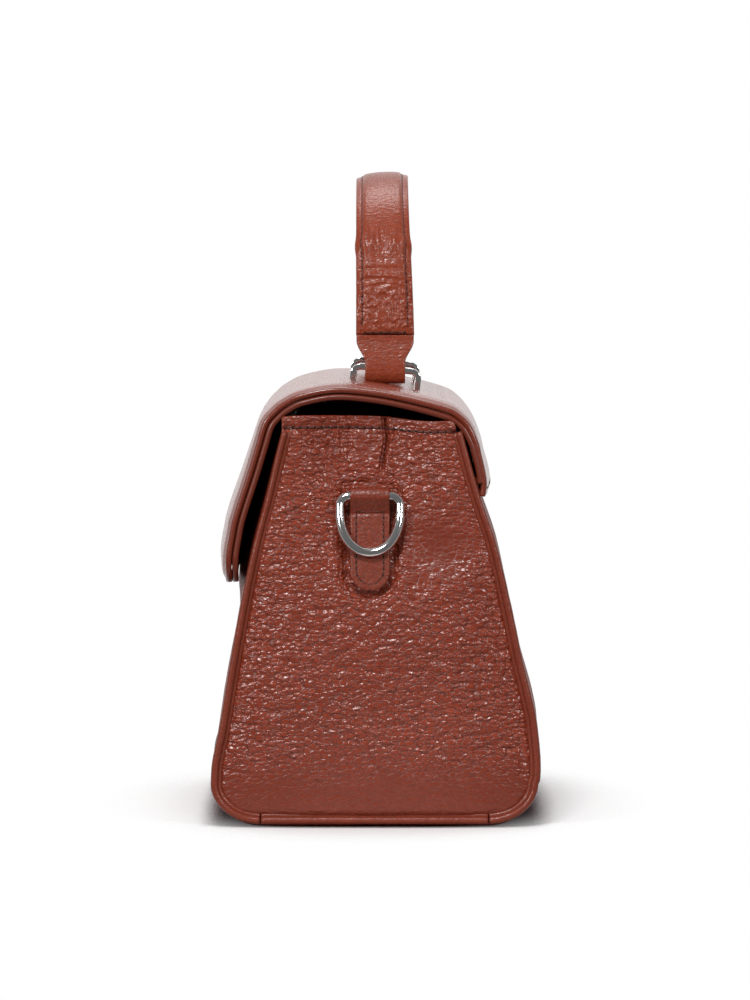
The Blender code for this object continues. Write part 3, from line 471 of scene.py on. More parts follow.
class Nodes:
    """Adds nodes to a tree, and links or fills their inputs."""

    def __init__(self, tree):
        self.tree = tree

    def add(self, kind, inputs=(), **settings):
        node = self.tree.nodes.new(kind)
        for key, value in settings.items():
            setattr(node, key, value)
        for key, value in dict(inputs).items():
            self.feed(node.inputs[key], value)
        return node

    def feed(self, socket, value):
        if isinstance(value, bpy.types.NodeSocket):
            self.tree.links.new(value, socket)
        else:
            socket.default_value = value

    def math(self, operation, *values):
        return self.add("ShaderNodeMath", dict(enumerate(values)), operation=operation).outputs[0]

    def vector(self, operation, *values):
        return self.add("ShaderNodeVectorMath", dict(enumerate(values)), operation=operation).outputs[0]

    def scale(self, vector, factor):
        node = self.add("ShaderNodeVectorMath", {0: vector}, operation="SCALE")
        self.feed(node.inputs["Scale"], factor)
        return node.outputs[0]

    def ramp(self, value, low, high, start=0.0, end=1.0):
        """A smooth step of the value from low to high."""
        node = self.add("ShaderNodeMapRange", {"Value": value}, interpolation_type="SMOOTHSTEP")
        for key, number in (("From Min", low), ("From Max", high), ("To Min", start), ("To Max", end)):
            self.feed(node.inputs[key], number)
        return node.outputs[0]

    def mix(self, share, first, second):
        node = self.add("ShaderNodeMix", data_type="RGBA")
        for index, value in ((0, share), (6, first), (7, second)):
            self.feed(node.inputs[index], value)
        return node.outputs[2]

    def noise(self, vector, scale, detail=2.0, roughness=0.5):
        inputs = {"Vector": vector, "Scale": scale, "Detail": detail, "Roughness": roughness}
        return self.add("ShaderNodeTexNoise", inputs)

    def cells(self, vector, scale, feature):
        return self.add("ShaderNodeTexVoronoi", {"Vector": vector, "Scale": scale, "Randomness": 0.85}, feature=feature)

    def placed(self, name, inputs):
        """The outputs of a shader node group that is placed with its own values."""
        return self.add("ShaderNodeGroup", inputs, node_tree=bpy.data.node_groups[name]).outputs

    def bump(self, shader, height, distance, strength):
        node = self.add("ShaderNodeBump", {"Height": height, "Distance": distance, "Strength": strength})
        self.feed(shader.inputs["Normal"], node.outputs[0])


def group(name, inputs, outputs):
    """A new shader node group with named sockets: the builder, inputs and outputs inside it."""
    tree = bpy.data.node_groups.new(name, "ShaderNodeTree")
    for way, sockets in (("INPUT", inputs), ("OUTPUT", outputs)):
        for word, kind in sockets:
            tree.interface.new_socket(word, in_out=way, socket_type="NodeSocket" + kind)
    make = Nodes(tree)
    return make, make.add("NodeGroupInput").outputs, make.add("NodeGroupOutput").inputs


def pebble_grain():
    """Rounded pebbles with fine creases between them: their height, their grooves and a shade for each."""
    make, given, out = group(
        "pebble_grain",
        (("Vector", "Vector"), ("Pebble", "Float")),
        (("Height", "Float"), ("Groove", "Float"), ("Shade", "Float")),
    )
    place = make.scale(given["Vector"], make.math("DIVIDE", 1.0, given["Pebble"]))
    drift = make.noise(place, 0.45, 2.0).outputs["Color"]
    place = make.vector("ADD", place, make.scale(make.vector("SUBTRACT", drift, (0.5, 0.5, 0.5)), 1.1))
    edge = make.cells(place, 1.0, "DISTANCE_TO_EDGE").outputs["Distance"]
    cell = make.cells(place, 1.0, "F1")
    away = cell.outputs["Distance"]
    height = make.math("MULTIPLY", make.math("MULTIPLY", away, away), -0.55)
    height = make.math("MULTIPLY_ADD", make.ramp(edge, 0.0, 0.10), 0.09, height)
    waves = make.noise(make.vector("MULTIPLY", place, (1.0, 0.8, 1.15)), 0.62, 1.0, 0.5).outputs[0]
    height = make.math("MULTIPLY_ADD", waves, 1.7, height)
    soft = make.noise(place, 2.2, 1.0, 0.5).outputs[0]
    height = make.math("MULTIPLY_ADD", soft, 0.14, height)
    make.feed(out["Height"], height)
    make.feed(out["Groove"], make.ramp(edge, 0.0, 0.12, 1.0, 0.0))
    make.feed(out["Shade"], make.add("ShaderNodeSeparateColor", {0: cell.outputs["Color"]}).outputs[0])


def mottle():
    """Slow uneven colour and sheen, as dye takes differently over a hide."""
    make, given, out = group(
        "mottle", (("Vector", "Vector"), ("Size", "Float")), (("Cloud", "Float"), ("Scuff", "Float"))
    )
    place = make.scale(given["Vector"], make.math("DIVIDE", 1.0, given["Size"]))
    make.feed(out["Cloud"], make.noise(place, 1.0, 4.0, 0.55).outputs[0])
    make.feed(out["Scuff"], make.ramp(make.noise(place, 5.0, 3.0, 0.65).outputs[0], 0.55, 0.8))


def new_material(name, follow=None):
    """A material, its node builder, its shader, and the place on the piece that its patterns follow."""
    material = bpy.data.materials.new(name)
    material.use_nodes = True
    make = Nodes(material.node_tree)
    if follow:
        place = make.add("ShaderNodeAttribute", attribute_name=follow).outputs["Vector"]
    else:
        place = make.add("ShaderNodeTexCoord").outputs["Object"]
    return material, make, material.node_tree.nodes["Principled BSDF"], place


def shade(colour, share=1.0, lift=0.0):
    """A colour made darker or lighter."""
    return (*(min(channel * share + lift, 1.0) for channel in colour), 1.0)


def leather(name, colour, size, relief, roughness, stretch=(1.0, 1.0, 1.0), follow=None, shine=0.42, coat=0.0):
    """A leather with pebbles of a size in metres and a relief in metres. Where a piece has a rest place or a grain
    share stored on it, follow names the rest place, and the share scales the relief. Where grain is pressed flat the
    colour is also darkened as painted shade, and the creases between pebbles are painted darker as shade."""
    material, make, shader, place = new_material(name, follow)
    stretched = make.vector("MULTIPLY", place, stretch)
    grain = make.placed("pebble_grain", {"Vector": stretched, "Pebble": size})
    cloud = make.placed("mottle", {"Vector": place, "Size": CLOUD_SIZE})
    press_shade = make.add("ShaderNodeAttribute", attribute_name="smoothed").outputs["Fac"]
    share = make.math("SUBTRACT", 1.0, press_shade)
    tone = make.math("MULTIPLY_ADD", grain["Shade"], 0.35, make.math("MULTIPLY", cloud["Cloud"], 0.85))
    body = make.mix(make.ramp(tone, 0.3, 0.95), shade(colour), shade(colour, 1.22, 0.004))
    # Painted shade: where grain is pressed flat (hem, beside the ring, low on the gusset, the flap's rim, the base) the
    # colour is darkened toward 0.66 of itself, standing in for the dull, dim look there
    body = make.mix(make.math("MULTIPLY", press_shade, 0.8), body, shade(colour, 0.66))
    # Painted shade: the creases between pebbles are darkened toward 0.55 of the colour, more where grain is not pressed
    # flat
    groove_shade = make.math("MULTIPLY", grain["Groove"], make.math("MULTIPLY_ADD", share, 0.6, 0.25))
    make.feed(shader.inputs["Base Color"], make.mix(groove_shade, body, shade(colour, 0.55)))
    rough = make.math("MULTIPLY_ADD", grain["Groove"], 0.2, roughness)
    rough = make.math("MULTIPLY_ADD", cloud["Scuff"], 0.08, rough)
    make.feed(shader.inputs["Roughness"], make.math("MULTIPLY_ADD", press_shade, 0.02, rough))
    pores = make.noise(place, 2600.0, 3.0, 0.6).outputs[0]
    height = make.math("MULTIPLY_ADD", grain["Height"], share, make.math("MULTIPLY", pores, 0.004))
    make.bump(shader, height, relief, 1.0)
    shader.inputs["Specular IOR Level"].default_value = shine
    shader.inputs["Coat Weight"].default_value = coat
    shader.inputs["Coat Roughness"].default_value = 0.14
    material.diffuse_color = shade(colour)


def cloth(name, colour):
    """A plain woven lining, its threads running along and up the bag."""
    _, make, shader, place = new_material(name)
    waves = [
        make.add("ShaderNodeTexWave", {"Vector": place, "Scale": 380.0, "Distortion": 0.6}, bands_direction=axis)
        for axis in ("X", "Z")
    ]
    weave = make.math("MULTIPLY", waves[0].outputs["Fac"], waves[1].outputs["Fac"])
    slub = make.noise(place, 160.0, 3.0).outputs[0]
    tone = make.math("MULTIPLY_ADD", slub, 0.5, make.math("MULTIPLY", weave, 0.6))
    make.feed(shader.inputs["Base Color"], make.mix(tone, shade(colour, 0.55), shade(colour)))
    make.bump(shader, weave, 0.2 * MM, 0.8)
    make.feed(shader.inputs["Roughness"], make.math("MULTIPLY_ADD", slub, 0.2, 0.7))
    shader.inputs["Sheen Weight"].default_value = 0.3


def metal(name, colour, roughness, brushed):
    """Polished or brushed metal with hairline scratches and slight clouding."""
    _, make, shader, place = new_material(name)
    lines = make.noise(make.vector("MULTIPLY", place, (900.0, 900.0, 9000.0)), 1.0, 2.0).outputs[0]
    cloud = make.noise(place, 220.0, 3.0).outputs[0]
    rough = make.math("MULTIPLY_ADD", lines, brushed, roughness)
    make.feed(shader.inputs["Roughness"], make.math("MULTIPLY_ADD", cloud, 0.06, rough))
    make.feed(shader.inputs["Base Color"], make.mix(cloud, shade(colour, 0.86), shade(colour)))
    make.bump(shader, lines, 0.004 * MM, brushed * 4)
    shader.inputs["Metallic"].default_value = 1.0


def plain(name, colour, roughness, grain):
    """A dull even material with a fine fibrous grain, for thread, board and padding."""
    _, make, shader, place = new_material(name)
    fibre = make.noise(place, 1.0 / grain, 3.0, 0.6).outputs[0]
    make.feed(shader.inputs["Base Color"], make.mix(fibre, shade(colour, 0.6), shade(colour)))
    make.feed(shader.inputs["Roughness"], make.math("MULTIPLY_ADD", fibre, 0.15, roughness - 0.05))
    make.bump(shader, fibre, grain / 4, 0.5)


def mesh_from(name, shape):
    """A mesh with the form of a bmesh, which is freed."""
    mesh = bpy.data.meshes.new(name)
    shape.to_mesh(mesh)
    shape.free()
    return mesh


def finished(mesh, finishes, body, slot, *replaced):
    """Adds a mesh as a piece of the same name that rides on a body, and stands for the solid's nodes."""
    made = bpy.data.objects.new(mesh.name, mesh)
    bpy.context.scene.collection.objects.link(made)
    for finish in finishes.split():
        mesh.materials.append(bpy.data.materials[finish])
    mesh.shade_smooth()
    if body:
        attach(made, body)
    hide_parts(*replaced)
    return made


def sheet_mesh(name, across, along, place, out, smoothed=None, rest=False):
    """A grid whose point at (column, row) stands at place(column, row) and whose faces look out.
    smoothed gives each point's share of grain that is pressed flat, where the leather also paints shade by darkening
    the colour."""
    shape = bmesh.new()
    bmesh.ops.create_grid(shape, x_segments=across, y_segments=along, size=1)
    flat = shape.verts.layers.float.new("smoothed")
    kept = shape.verts.layers.float_vector.new("rest") if rest else None
    shape.verts.ensure_lookup_table()
    for i, vert in enumerate(shape.verts):
        row, column = divmod(i, across + 1)
        vert.co = place(column, row)
        if smoothed:
            vert[flat] = smoothed(column, row)
        if rest:
            vert[kept] = vert.co
    shape.normal_update()
    shape.faces.ensure_lookup_table()
    middle = shape.faces[along // 2 * across + across // 2]
    if middle.normal.dot(Vector(out)) < 0:
        bmesh.ops.reverse_faces(shape, faces=shape.faces)
    return mesh_from(name, shape)


def give_wall(piece, thickness, seat=-1.0, steps=6, shares=None):
    """Gives a sheet its thickness, and a round rim. seat is -1 where the sheet is the outer face and 0 where it is
    the middle, and shares holds each point's share of the thickness."""
    shape = bmesh.new()
    shape.from_mesh(piece.data)
    shape.normal_update()
    shape.verts.ensure_lookup_table()
    rest = shape.verts.layers.float_vector.get("rest")
    sheet, faces = list(shape.verts), list(shape.faces)
    thick = [thickness * (shares[i] if shares else 1.0) for i in range(len(sheet))]
    spots = [vert.co + vert.normal * thick[i] * (seat + 1) / 2 for i, vert in enumerate(sheet)]
    rims = {}
    for vert in sheet:
        if vert.is_boundary:
            inner = [edge.other_vert(vert) for edge in vert.link_edges if not edge.is_boundary]
            inner = inner or [edge.other_vert(vert) for edge in vert.link_edges]
            step = sum((other.co - vert.co for other in inner), Vector()) / len(inner)
            step -= vert.normal * step.dot(vert.normal)
            half = thick[vert.index] / 2
            rims[vert.index] = step.normalized() * min(half, 0.85 * step.length), vert.normal * half
    edges = [tuple(vert.index for vert in loop_ends(face, edge)) for edge in shape.edges if edge.is_boundary
             for face in edge.link_faces]

    def added(vert, place):
        made = shape.verts.new(place, vert)
        if rest:
            made[rest] = vert[rest] + (place - vert.co)
        return made

    far, rings = {}, {}
    for i, vert in enumerate(sheet):
        if i not in rims:
            far[i] = added(vert, spots[i] - vert.normal * thick[i])
            continue
        inset, half = rims[i]
        ring = []
        for number in range(1, steps + 1):
            turn = math.pi * number / steps
            ring.append(added(vert, spots[i] + inset * (1 - math.sin(turn)) - half * (1 - math.cos(turn))))
        far[i] = ring[-1]
        rings[i] = [vert] + ring
    for face in faces:
        shape.faces.new([far[vert.index] for vert in reversed(face.verts)])
    for a, b in edges:
        for k in range(steps):
            shape.faces.new((rings[b][k], rings[a][k], rings[a][k + 1], rings[b][k + 1]))
    for i, vert in enumerate(sheet):
        vert.co = spots[i] + (rims[i][0] if i in rims else Vector())
    for face in shape.faces:
        face.smooth = True
    shape.to_mesh(piece.data)
    shape.free()
    return piece


def loop_ends(face, edge):
    """The two ends of an edge in the order in which the face runs along it."""
    for loop in face.loops:
        if loop.edge == edge:
            return loop.vert, loop.link_loop_next.vert


def curve_mesh(name, points, radius, closed=False, sides=6, radii=None):
    """A round cord through points, as a mesh with merged seams."""
    data = bpy.data.curves.new(name, "CURVE")
    data.dimensions = "3D"
    data.bevel_depth = radius
    data.bevel_resolution = sides
    data.use_fill_caps = not closed
    spline = data.splines.new("POLY")
    spline.points.add(len(points) - 1)
    for i, place in enumerate(points):
        spline.points[i].co = (*place, 1.0)
        spline.points[i].radius = radii[i] if radii else 1.0
    spline.use_cyclic_u = closed
    return mesh_of(name, data)


def mesh_of(name, data):
    """The mesh of a curve, merged and turned outwards."""
    guide = bpy.data.objects.new(name, data)
    bpy.context.scene.collection.objects.link(guide)
    graph = bpy.context.evaluated_depsgraph_get()
    mesh = bpy.data.meshes.new_from_object(guide.evaluated_get(graph))
    bpy.data.objects.remove(guide)
    bpy.data.curves.remove(data)
    mesh.name = name
    shape = bmesh.new()
    shape.from_mesh(mesh)
    bmesh.ops.remove_doubles(shape, verts=shape.verts, dist=0.002 * MM)
    bmesh.ops.recalc_face_normals(shape, faces=shape.faces)
    shape.to_mesh(mesh)
    shape.free()
    mesh.materials.clear()
    return mesh


def along_row(row, pitch):
    """The places of the stitches of a row of (point, outward): middle, way and outward of each, evenly spaced."""
    row = [row[0]] + [after for before, after in zip(row, row[1:]) if (after[0] - before[0]).length > 0]
    marks = [0.0]
    for (a, _), (b, _) in zip(row, row[1:]):
        marks.append(marks[-1] + (b - a).length)
    count = max(round(marks[-1] / pitch), 1)
    step = marks[-1] / count
    for number in range(2 * count + 1):
        mark = step * number / 2
        i = int(clamp(bisect.bisect_right(marks, mark) - 1, 0, len(row) - 2))
        (a, out_a), (b, out_b) = row[i], row[i + 1]
        share = (mark - marks[i]) / (marks[i + 1] - marks[i])
        yield number % 2 == 1, a.lerp(b, share), (b - a).normalized(), out_a.lerp(out_b, share).normalized(), step


def bead(name, slot):
    """A small round form that a stitch, or the painted shade of a needle hole, is stretched from."""
    shape = bmesh.new()
    bmesh.ops.create_uvsphere(shape, u_segments=8, v_segments=5, radius=1)
    for face in shape.faces:
        face.material_index = slot
    return mesh_from(name, shape)


def stitch_mesh(name, rows, pitch, width):
    """Rows of sewn stitches: a plump thread between each two needle holes, whose shade is painted as a flat near-black
    bead.
    """
    beads = bead("hole_shade_bead", 1), bead("thread_bead", 0)
    shape = bmesh.new()
    for row in rows:
        for thread, middle, way, out, step in along_row(row, pitch):
            if thread:
                half = Vector((width / 2, width * 0.42, step * 0.40))
            else:
                # A hole: a flat bead of near-black painted shade
                half = Vector((width * 0.52, width * 0.16, step * 0.17))
            aside = out.cross(way).normalized()
            up = way.cross(aside)
            turn = Matrix((aside * half.x, up * half.y, way * half.z)).transposed().to_4x4()
            turn.translation = middle + out * (0.02 * MM if thread else 0.03 * MM)
            one = beads[thread].copy()
            one.transform(turn)
            shape.from_mesh(one)
            bpy.data.meshes.remove(one)
    bmesh.ops.recalc_face_normals(shape, faces=shape.faces)
    for one in beads:
        bpy.data.meshes.remove(one)
    return mesh_from(name, shape)


def sew(name, rows, body, pitch, width=STITCH_WIDTH, slot="smooth_leather"):
    """Adds rows of stitches as one piece."""
    return finished(stitch_mesh(name, rows, pitch, width), "sewing_thread needle_holes", body, slot)


def tab_inside(y, z):
    """How far a point of the gusset's plane is outside the tab's outline, negative inside."""
    half = TAB_WIDTH / 2
    middle = TAB_BOTTOM + half
    if z < middle:
        return math.hypot(y - TAB_Y, z - middle) - half
    return max(abs(y - TAB_Y) - half, z - RING_BAR_HEIGHT - 0.0035)


def plain_puff(bag, y, z):
    """The solid's own gusset shape, which the tab is seated on."""
    across = clamp((y - bag.lean(z)) / bag.half_depth(z), -1.0, 1.0)
    up = clamp((z - PIPING_HEIGHT) / (bag.height - PIPING_HEIGHT))
    belly = GUSSET_BELLY * (1 - across**2) * math.sin(math.pi * up**0.75)
    return belly - 0.008 * (1 - across**2) ** 3 * smooth((up - 0.42) / 0.58)


def hill(value, centre, reach):
    return math.exp(-(((value - centre) / reach) ** 2))


def gusset_folds(y, z, edge):
    """The creases that run down from the hem, and the small folds above the tab."""
    drop = edge - z
    sway = 0.0009 * math.sin(drop / 0.0045) * smooth(drop / 0.012)
    run = smooth((z - 0.1395) / 0.004)
    off = y - FOLD_RIGHT - sway
    made = -CREASE_DEPTH * math.exp(-abs(off / CREASE_WIDTH) ** 1.5) * run
    made -= 0.9 * MM * hill(off, -1.0 * MM, 0.3 * MM) * run
    made += 0.55 * MM * (hill(off, 1.9 * MM, 1.2 * MM) + 0.7 * hill(off, -1.8 * MM, 1.1 * MM)) * run
    run = smooth((z - 0.141) / 0.008)
    for shift, depth, width in FOLD_LINES:
        bend = 0.0007 * math.sin(drop / 0.006 + shift)
        made -= depth * MM * hill(y - FOLD_LEFT - shift * MM - bend, 0.0, width * MM) * run
    low = TAB_FOLD_HEIGHT + 22.5 * (y - TAB_Y) ** 2
    window = hill(z, low, 2.4 * MM) * fade(y - TAB_Y, 0.013)
    made += 0.55 * MM * math.sin((z - low) * 2 * math.pi / (2.1 * MM)) * window
    return made


def gusset_face(bag, y, z, edge, seed):
    """How far the gusset's leather stands out of its flat plane, with belly, valley, folds and hem."""
    half = bag.half_depth(z) + bag.fuller(BACK if y > 0 else FRONT, z)
    across = clamp((y - bag.lean(z)) / half, -1.0, 1.0)
    up = clamp((z - PIPING_HEIGHT) / (bag.height - PIPING_HEIGHT))
    belly = GUSSET_BELLY * (1 - across**2) * math.sin(math.pi * up**0.75)
    belly -= 2.0 * MM * across**4
    rim = half - 0.003
    left = smooth((y + rim) / (FOLD_LEFT + rim))
    right = smooth((rim - y) / (rim - FOLD_RIGHT))
    shape = belly - GUSSET_VALLEY * left * right * smooth((up - 0.42) / 0.58)
    shape += gusset_folds(y, z, edge)
    outside = tab_inside(y, z)
    if outside > 0:
        beside = smooth((0.139 - z) / 0.006)
        shape -= 1.7 * MM * hill(outside, 1.6 * MM, 2.4 * MM) * beside
        shape += 0.5 * MM * hill(outside, 6.5 * MM, 2.6 * MM) * beside
        wrinkle = math.sin(outside * 2 * math.pi / (1.7 * MM) + 3 * noise.noise(Vector((y * 200, z * 90, seed + 8))))
        shape += 0.16 * MM * wrinkle * hill(outside, 3.2 * MM, 2.2 * MM) * beside
    # The shallow dent behind the ring, the fold below it, and the unevenness of the hide
    shape -= 1.0 * MM * hill(y, 0.027, 0.016) * hill(z, 0.113, 0.013)
    shape += 0.7 * MM * hill(y, 0.029, 0.018) * hill(z - 0.35 * (y - 0.027), 0.0935, 0.007)
    shape += 0.45 * MM * noise.noise(Vector((y * 42, z * 38, seed)))
    shape += 0.16 * MM * noise.noise(Vector((y * 110, z * 190, seed + 4)))
    drop = edge - z
    pleat = math.sin(2 * math.pi * y / bag.sizes.stitch_pitch)
    shape += 0.16 * MM * pleat * fade(drop - HEM_WIDTH - 1.2 * MM, 4 * MM)
    shape += 0.42 * MM * smooth((HEM_WIDTH - drop) / (0.5 * MM))
    shape -= 0.42 * MM * hill(drop, HEM_WIDTH + 0.35 * MM, 0.5 * MM)
    if outside < 1.2 * MM:
        return shape + (min(plain_puff(bag, y, z), shape) - shape) * fade(max(outside, 0.0), 1.2 * MM)
    return shape


def gusset_press_and_shade(y, z, edge):
    """The share of grain pressed flat, where the leather also paints shade by darkening the colour: on the hem, beside
    the ring and low down.
    """
    share = 0.35 * smooth((HEM_WIDTH + 0.6 * MM - edge + z) / (0.8 * MM))
    ragged = z + 5 * MM * noise.noise(Vector((y * 70, z * 50, 7.0)))
    share = max(share, 0.72 * smooth((0.032 - ragged) / 0.02))
    share = max(share, 0.85 * hill(y, 0.026, 0.016) * hill(z, 0.112, 0.014))
    return max(share, 0.45 * hill(y, -0.003, 0.005) * smooth((z - 0.142) / 0.005))


def hem_edge(bag, y):
    return curve_through(HEM_EDGE, clamp(y, HEM_EDGE[0][0], HEM_EDGE[-1][0])) + bag.height - 0.161


def hem_cover(bag, side, z):
    """1 where the hem's corner lies over the top of the piping."""
    low = HEM_CORNER_HEIGHT if side < 0 else HEM_WIDTH
    return smooth((z - bag.height + low) / (1.6 * MM))


def gusset_point(bag, end, side, z, tuck, seed):
    """A point of a gusset at a share across and a height, tucked in behind the piping."""
    inset = bag.piping + GAP
    cover = hem_cover(bag, side, z)
    half = bag.half_depth(z, inset)
    half += cover * (HEM_HALF_DEPTH - half if side < 0 else 0.3 * MM)
    y = side * (half + bag.fuller(BACK if side > 0 else FRONT, z)) + bag.lean(z)
    edge = hem_edge(bag, y)
    z += (edge - bag.height) * clamp((z - bag.height + 0.024) / 0.024)
    from_rim = (1 - abs(side)) * half
    out = gusset_face(bag, y, z, edge, seed)
    out -= 1.25 * MM * (1 - clamp(from_rim / (2.6 * MM))) ** 2 * (1 - cover)
    out -= 1.25 * MM * (1 - clamp((z - PIPING_HEIGHT - inset) / (2.6 * MM))) ** 2
    out += 1.9 * MM * cover * fade(from_rim, 5 * MM) - tuck
    return Vector((end * (bag.length / 2 - GUSSET_RECESS + out), y, z)), edge


class SATCHEL_OT_gussets(bpy.types.Operator):
    """Adds the two pebbled leather ends with their folds, turned hems and hem stitches"""

    bl_idname = "satchel.gussets"
    bl_label = "Gussets"

    def execute(self, context):
        bag = Satchel(context)
        columns = [(-1.0, t) for t in GUSSET_TUCKS] + [
            (s, 0.0) for s in spaced(-1.0, 0.06, 106) + spaced(0.06, 0.17, 36)[1:] + spaced(0.17, 1.0, 83)[1:]
        ]
        columns += [(1.0, t) for t in reversed(GUSSET_TUCKS)]
        low = PIPING_HEIGHT + bag.piping + GAP
        rows = [(low, t) for t in GUSSET_TUCKS]
        rows += [(low + (WIDEST_HEIGHT - low) * (1 - math.cos(a)), 0.0) for a in spaced(0.0, math.pi / 2, 22)]
        rows += [(z, 0.0) for z in spaced(WIDEST_HEIGHT, bag.height, 166)[1:]]
        for word, end in SIDES:
            flat = {}

            def place(column, row):
                (side, tuck), (z, low_tuck) = columns[column], rows[row]
                point, edge = gusset_point(bag, end, side, z, max(tuck, low_tuck), GUSSET_SEED + end)
                flat[column, row] = gusset_press_and_shade(point.y, point.z, edge)
                return point

            mesh = sheet_mesh(
                f"gusset_leather_{word}", len(columns) - 1, len(rows) - 1, place, (end, 0, 0),
                lambda column, row: flat[column, row],
            )
            made = finished(mesh, "gusset_pebbled_leather", "bag_body", "grained_leather", f"gusset_{word}")
            give_wall(made, GUSSET_THICKNESS)

            def behind(column, row):
                z = low + 1.5 * MM + (bag.height - 2 * MM - low - 1.5 * MM) * row / 90
                return gusset_point(bag, end, 0.985 * (column / 40 - 1), z, 2.0 * MM, GUSSET_SEED + end)[0]

            mesh = sheet_mesh(f"gusset_lining_{word}", 80, 90, behind, (end, 0, 0))
            made = finished(mesh, "lining_cloth", "bag_body", "lining_cloth", f"lining_gusset_{word}")
            give_wall(made, LINING_THICKNESS, steps=3)
            row = []
            for side in spaced(-0.96, 0.96, 120):
                z = bag.height - HEM_WIDTH - 0.3 * MM
                point, _ = gusset_point(bag, end, side, z, -0.25 * MM, GUSSET_SEED + end)
                row.append((point, Vector((end, 0.0, 0.0))))
            sew(f"hem_stitches_{word}", [row], "bag_body", bag.sizes.stitch_pitch, HEM_STITCH_WIDTH)
        return {"FINISHED"}


def body_sheet(bag, name, profile, end, relief, pressed, out):
    """A layer of the body wall: its outer face in the end view swept along the bag, with its ends turned in.
    pressed is the share of its grain that is pressed flat, where the leather also paints shade by darkening the colour."""
    columns = [(-end, t) for t in WALL_TUCKS] + [(x, 0.0) for x in spaced(-end, end, 150)]
    columns += [(end, t) for t in reversed(WALL_TUCKS)]
    line = Route(profile, fineness=1)
    marks = spaced(0.0, line.length, max(round(line.length / (1.3 * MM)), 20))
    faces = [(line.at(mark), line.at(mark, 1.0) - line.at(mark)) for mark in marks]

    def place(column, row):
        x, tuck = columns[column]
        (y, z), away = faces[row]
        inward = 0.9 * MM * (1 - clamp((end - abs(x)) / (1.8 * MM))) ** 2 + tuck
        high = relief(x, marks[row], line.length) - inward
        swell = bag.swell(x, y, z) * bag.flatter(y, z)
        return Vector((x, y + swell + away.x * high, z + away.y * high))

    return sheet_mesh(name, len(columns) - 1, len(marks) - 1, place, out, lambda column, row: pressed)


def leather_relief(seed, seams):
    """The gentle unevenness of a stretched panel, dipping at each seam that seams gives."""

    def relief(x, mark, length):
        high = 0.30 * MM * noise.noise(Vector((x * 30, mark * 34, seed)))
        high += 0.10 * MM * noise.noise(Vector((x * 120, mark * 130, seed + 2)))
        for seam in seams(length):
            off = abs(mark - seam)
            high -= 0.75 * MM * (1 - clamp(off / (1.5 * MM))) ** 2
        return high

    return relief


def under_flap(bag, side, x, mark):
    """How far the front panel bulges below its top edge, most in the middle of the bag."""
    if side == BACK:
        return 0.0
    return PANEL_BULGE * smooth(mark / 0.012) * smooth((0.078 - mark) / 0.03) * (1 - (2 * x / bag.length) ** 2)


class SATCHEL_OT_walls(bpy.types.Operator):
    """Adds the front and back panels, the wrapped base and the seams between them"""

    bl_idname = "satchel.walls"
    bl_label = "Walls"

    def execute(self, context):
        bag = Satchel(context)
        tops = {FRONT: bag.height - PANEL_TOP_DROP, BACK: bag.height - BACK_MOUTH_DROP - PANEL_TOP_DROP}
        for word, side in (("front", FRONT), ("back", BACK)):
            profile = bag.wall(side, BASE_SEAM_HEIGHT + GAP / 2, tops[side], PANEL_PROUD, 60)
            if side == FRONT:
                profile.reverse()
            seams = (lambda length: (length,)) if side == FRONT else (lambda length: (0.0,))
            even = leather_relief(11.0 + side, seams)

            def relief(x, mark, length, side=side, even=even):
                return even(x, mark, length) + under_flap(bag, side, x, mark)

            mesh = body_sheet(bag, f"{word}_panel_leather", profile, bag.panel_end, relief, 0.0, (0, side, 0))
            made = finished(mesh, "panel_pebbled_leather", "bag_body", "grained_leather", f"{word}_panel")
            give_wall(made, PANEL_THICKNESS)
            low, high = BASE_SEAM_HEIGHT + BOARD_INSET, tops[side] - BOARD_INSET
            profile = bag.wall(side, low, high, PANEL_PROUD - CARD_THICKNESS, 40)
            if side == FRONT:
                profile.reverse()

            def inner(x, mark, length, side=side):
                return under_flap(bag, side, x, mark + BOARD_INSET)

            reach = bag.panel_end - BOARD_INSET
            card = body_sheet(bag, f"{word}_board_card", profile, reach, inner, 0.0, (0, side, 0))
            made = finished(card, "board", "bag_body", "stiffener_board", f"{word}_board")
            give_wall(made, CARD_THICKNESS, steps=3)
            rows = []
            for z in (BASE_SEAM_HEIGHT + SEAM_STITCH_ASIDE, BASE_SEAM_HEIGHT - SEAM_STITCH_ASIDE):
                row = []
                for x in spaced(2.5 * MM - bag.panel_end, bag.panel_end - 2.5 * MM, 60):
                    y = bag.side_y(side, z, PANEL_PROUD + bag.fuller(side, z))
                    row.append((Vector((x, y + bag.swell(x, y, z), z)), Vector((0.0, side, 0.18)).normalized()))
                rows.append(row)
            sew(f"base_seam_stitches_{word}", rows, "bag_body", bag.sizes.stitch_pitch)
        turns = [
            bag.corner(side, PANEL_PROUD, 0.0, 26)
            + bag.wall(side, WIDEST_HEIGHT, BASE_SEAM_HEIGHT - GAP / 2, PANEL_PROUD, 6)[1:]
            for side in (FRONT, BACK)
        ]
        inner = bag.depth - CORNER_REACH
        profile = turns[0][::-1] + [(y, 0.0) for y in spaced(-inner, inner, 30)[1:-1]] + turns[1]
        relief = leather_relief(17.0, lambda length: (0.0, length))
        mesh = body_sheet(bag, "base_leather", profile, bag.panel_end, relief, 0.25, (0, 0, -1))
        made = finished(mesh, "panel_pebbled_leather", "bag_body", "grained_leather", "base_panel")
        give_wall(made, PANEL_THICKNESS)
        return {"FINISHED"}


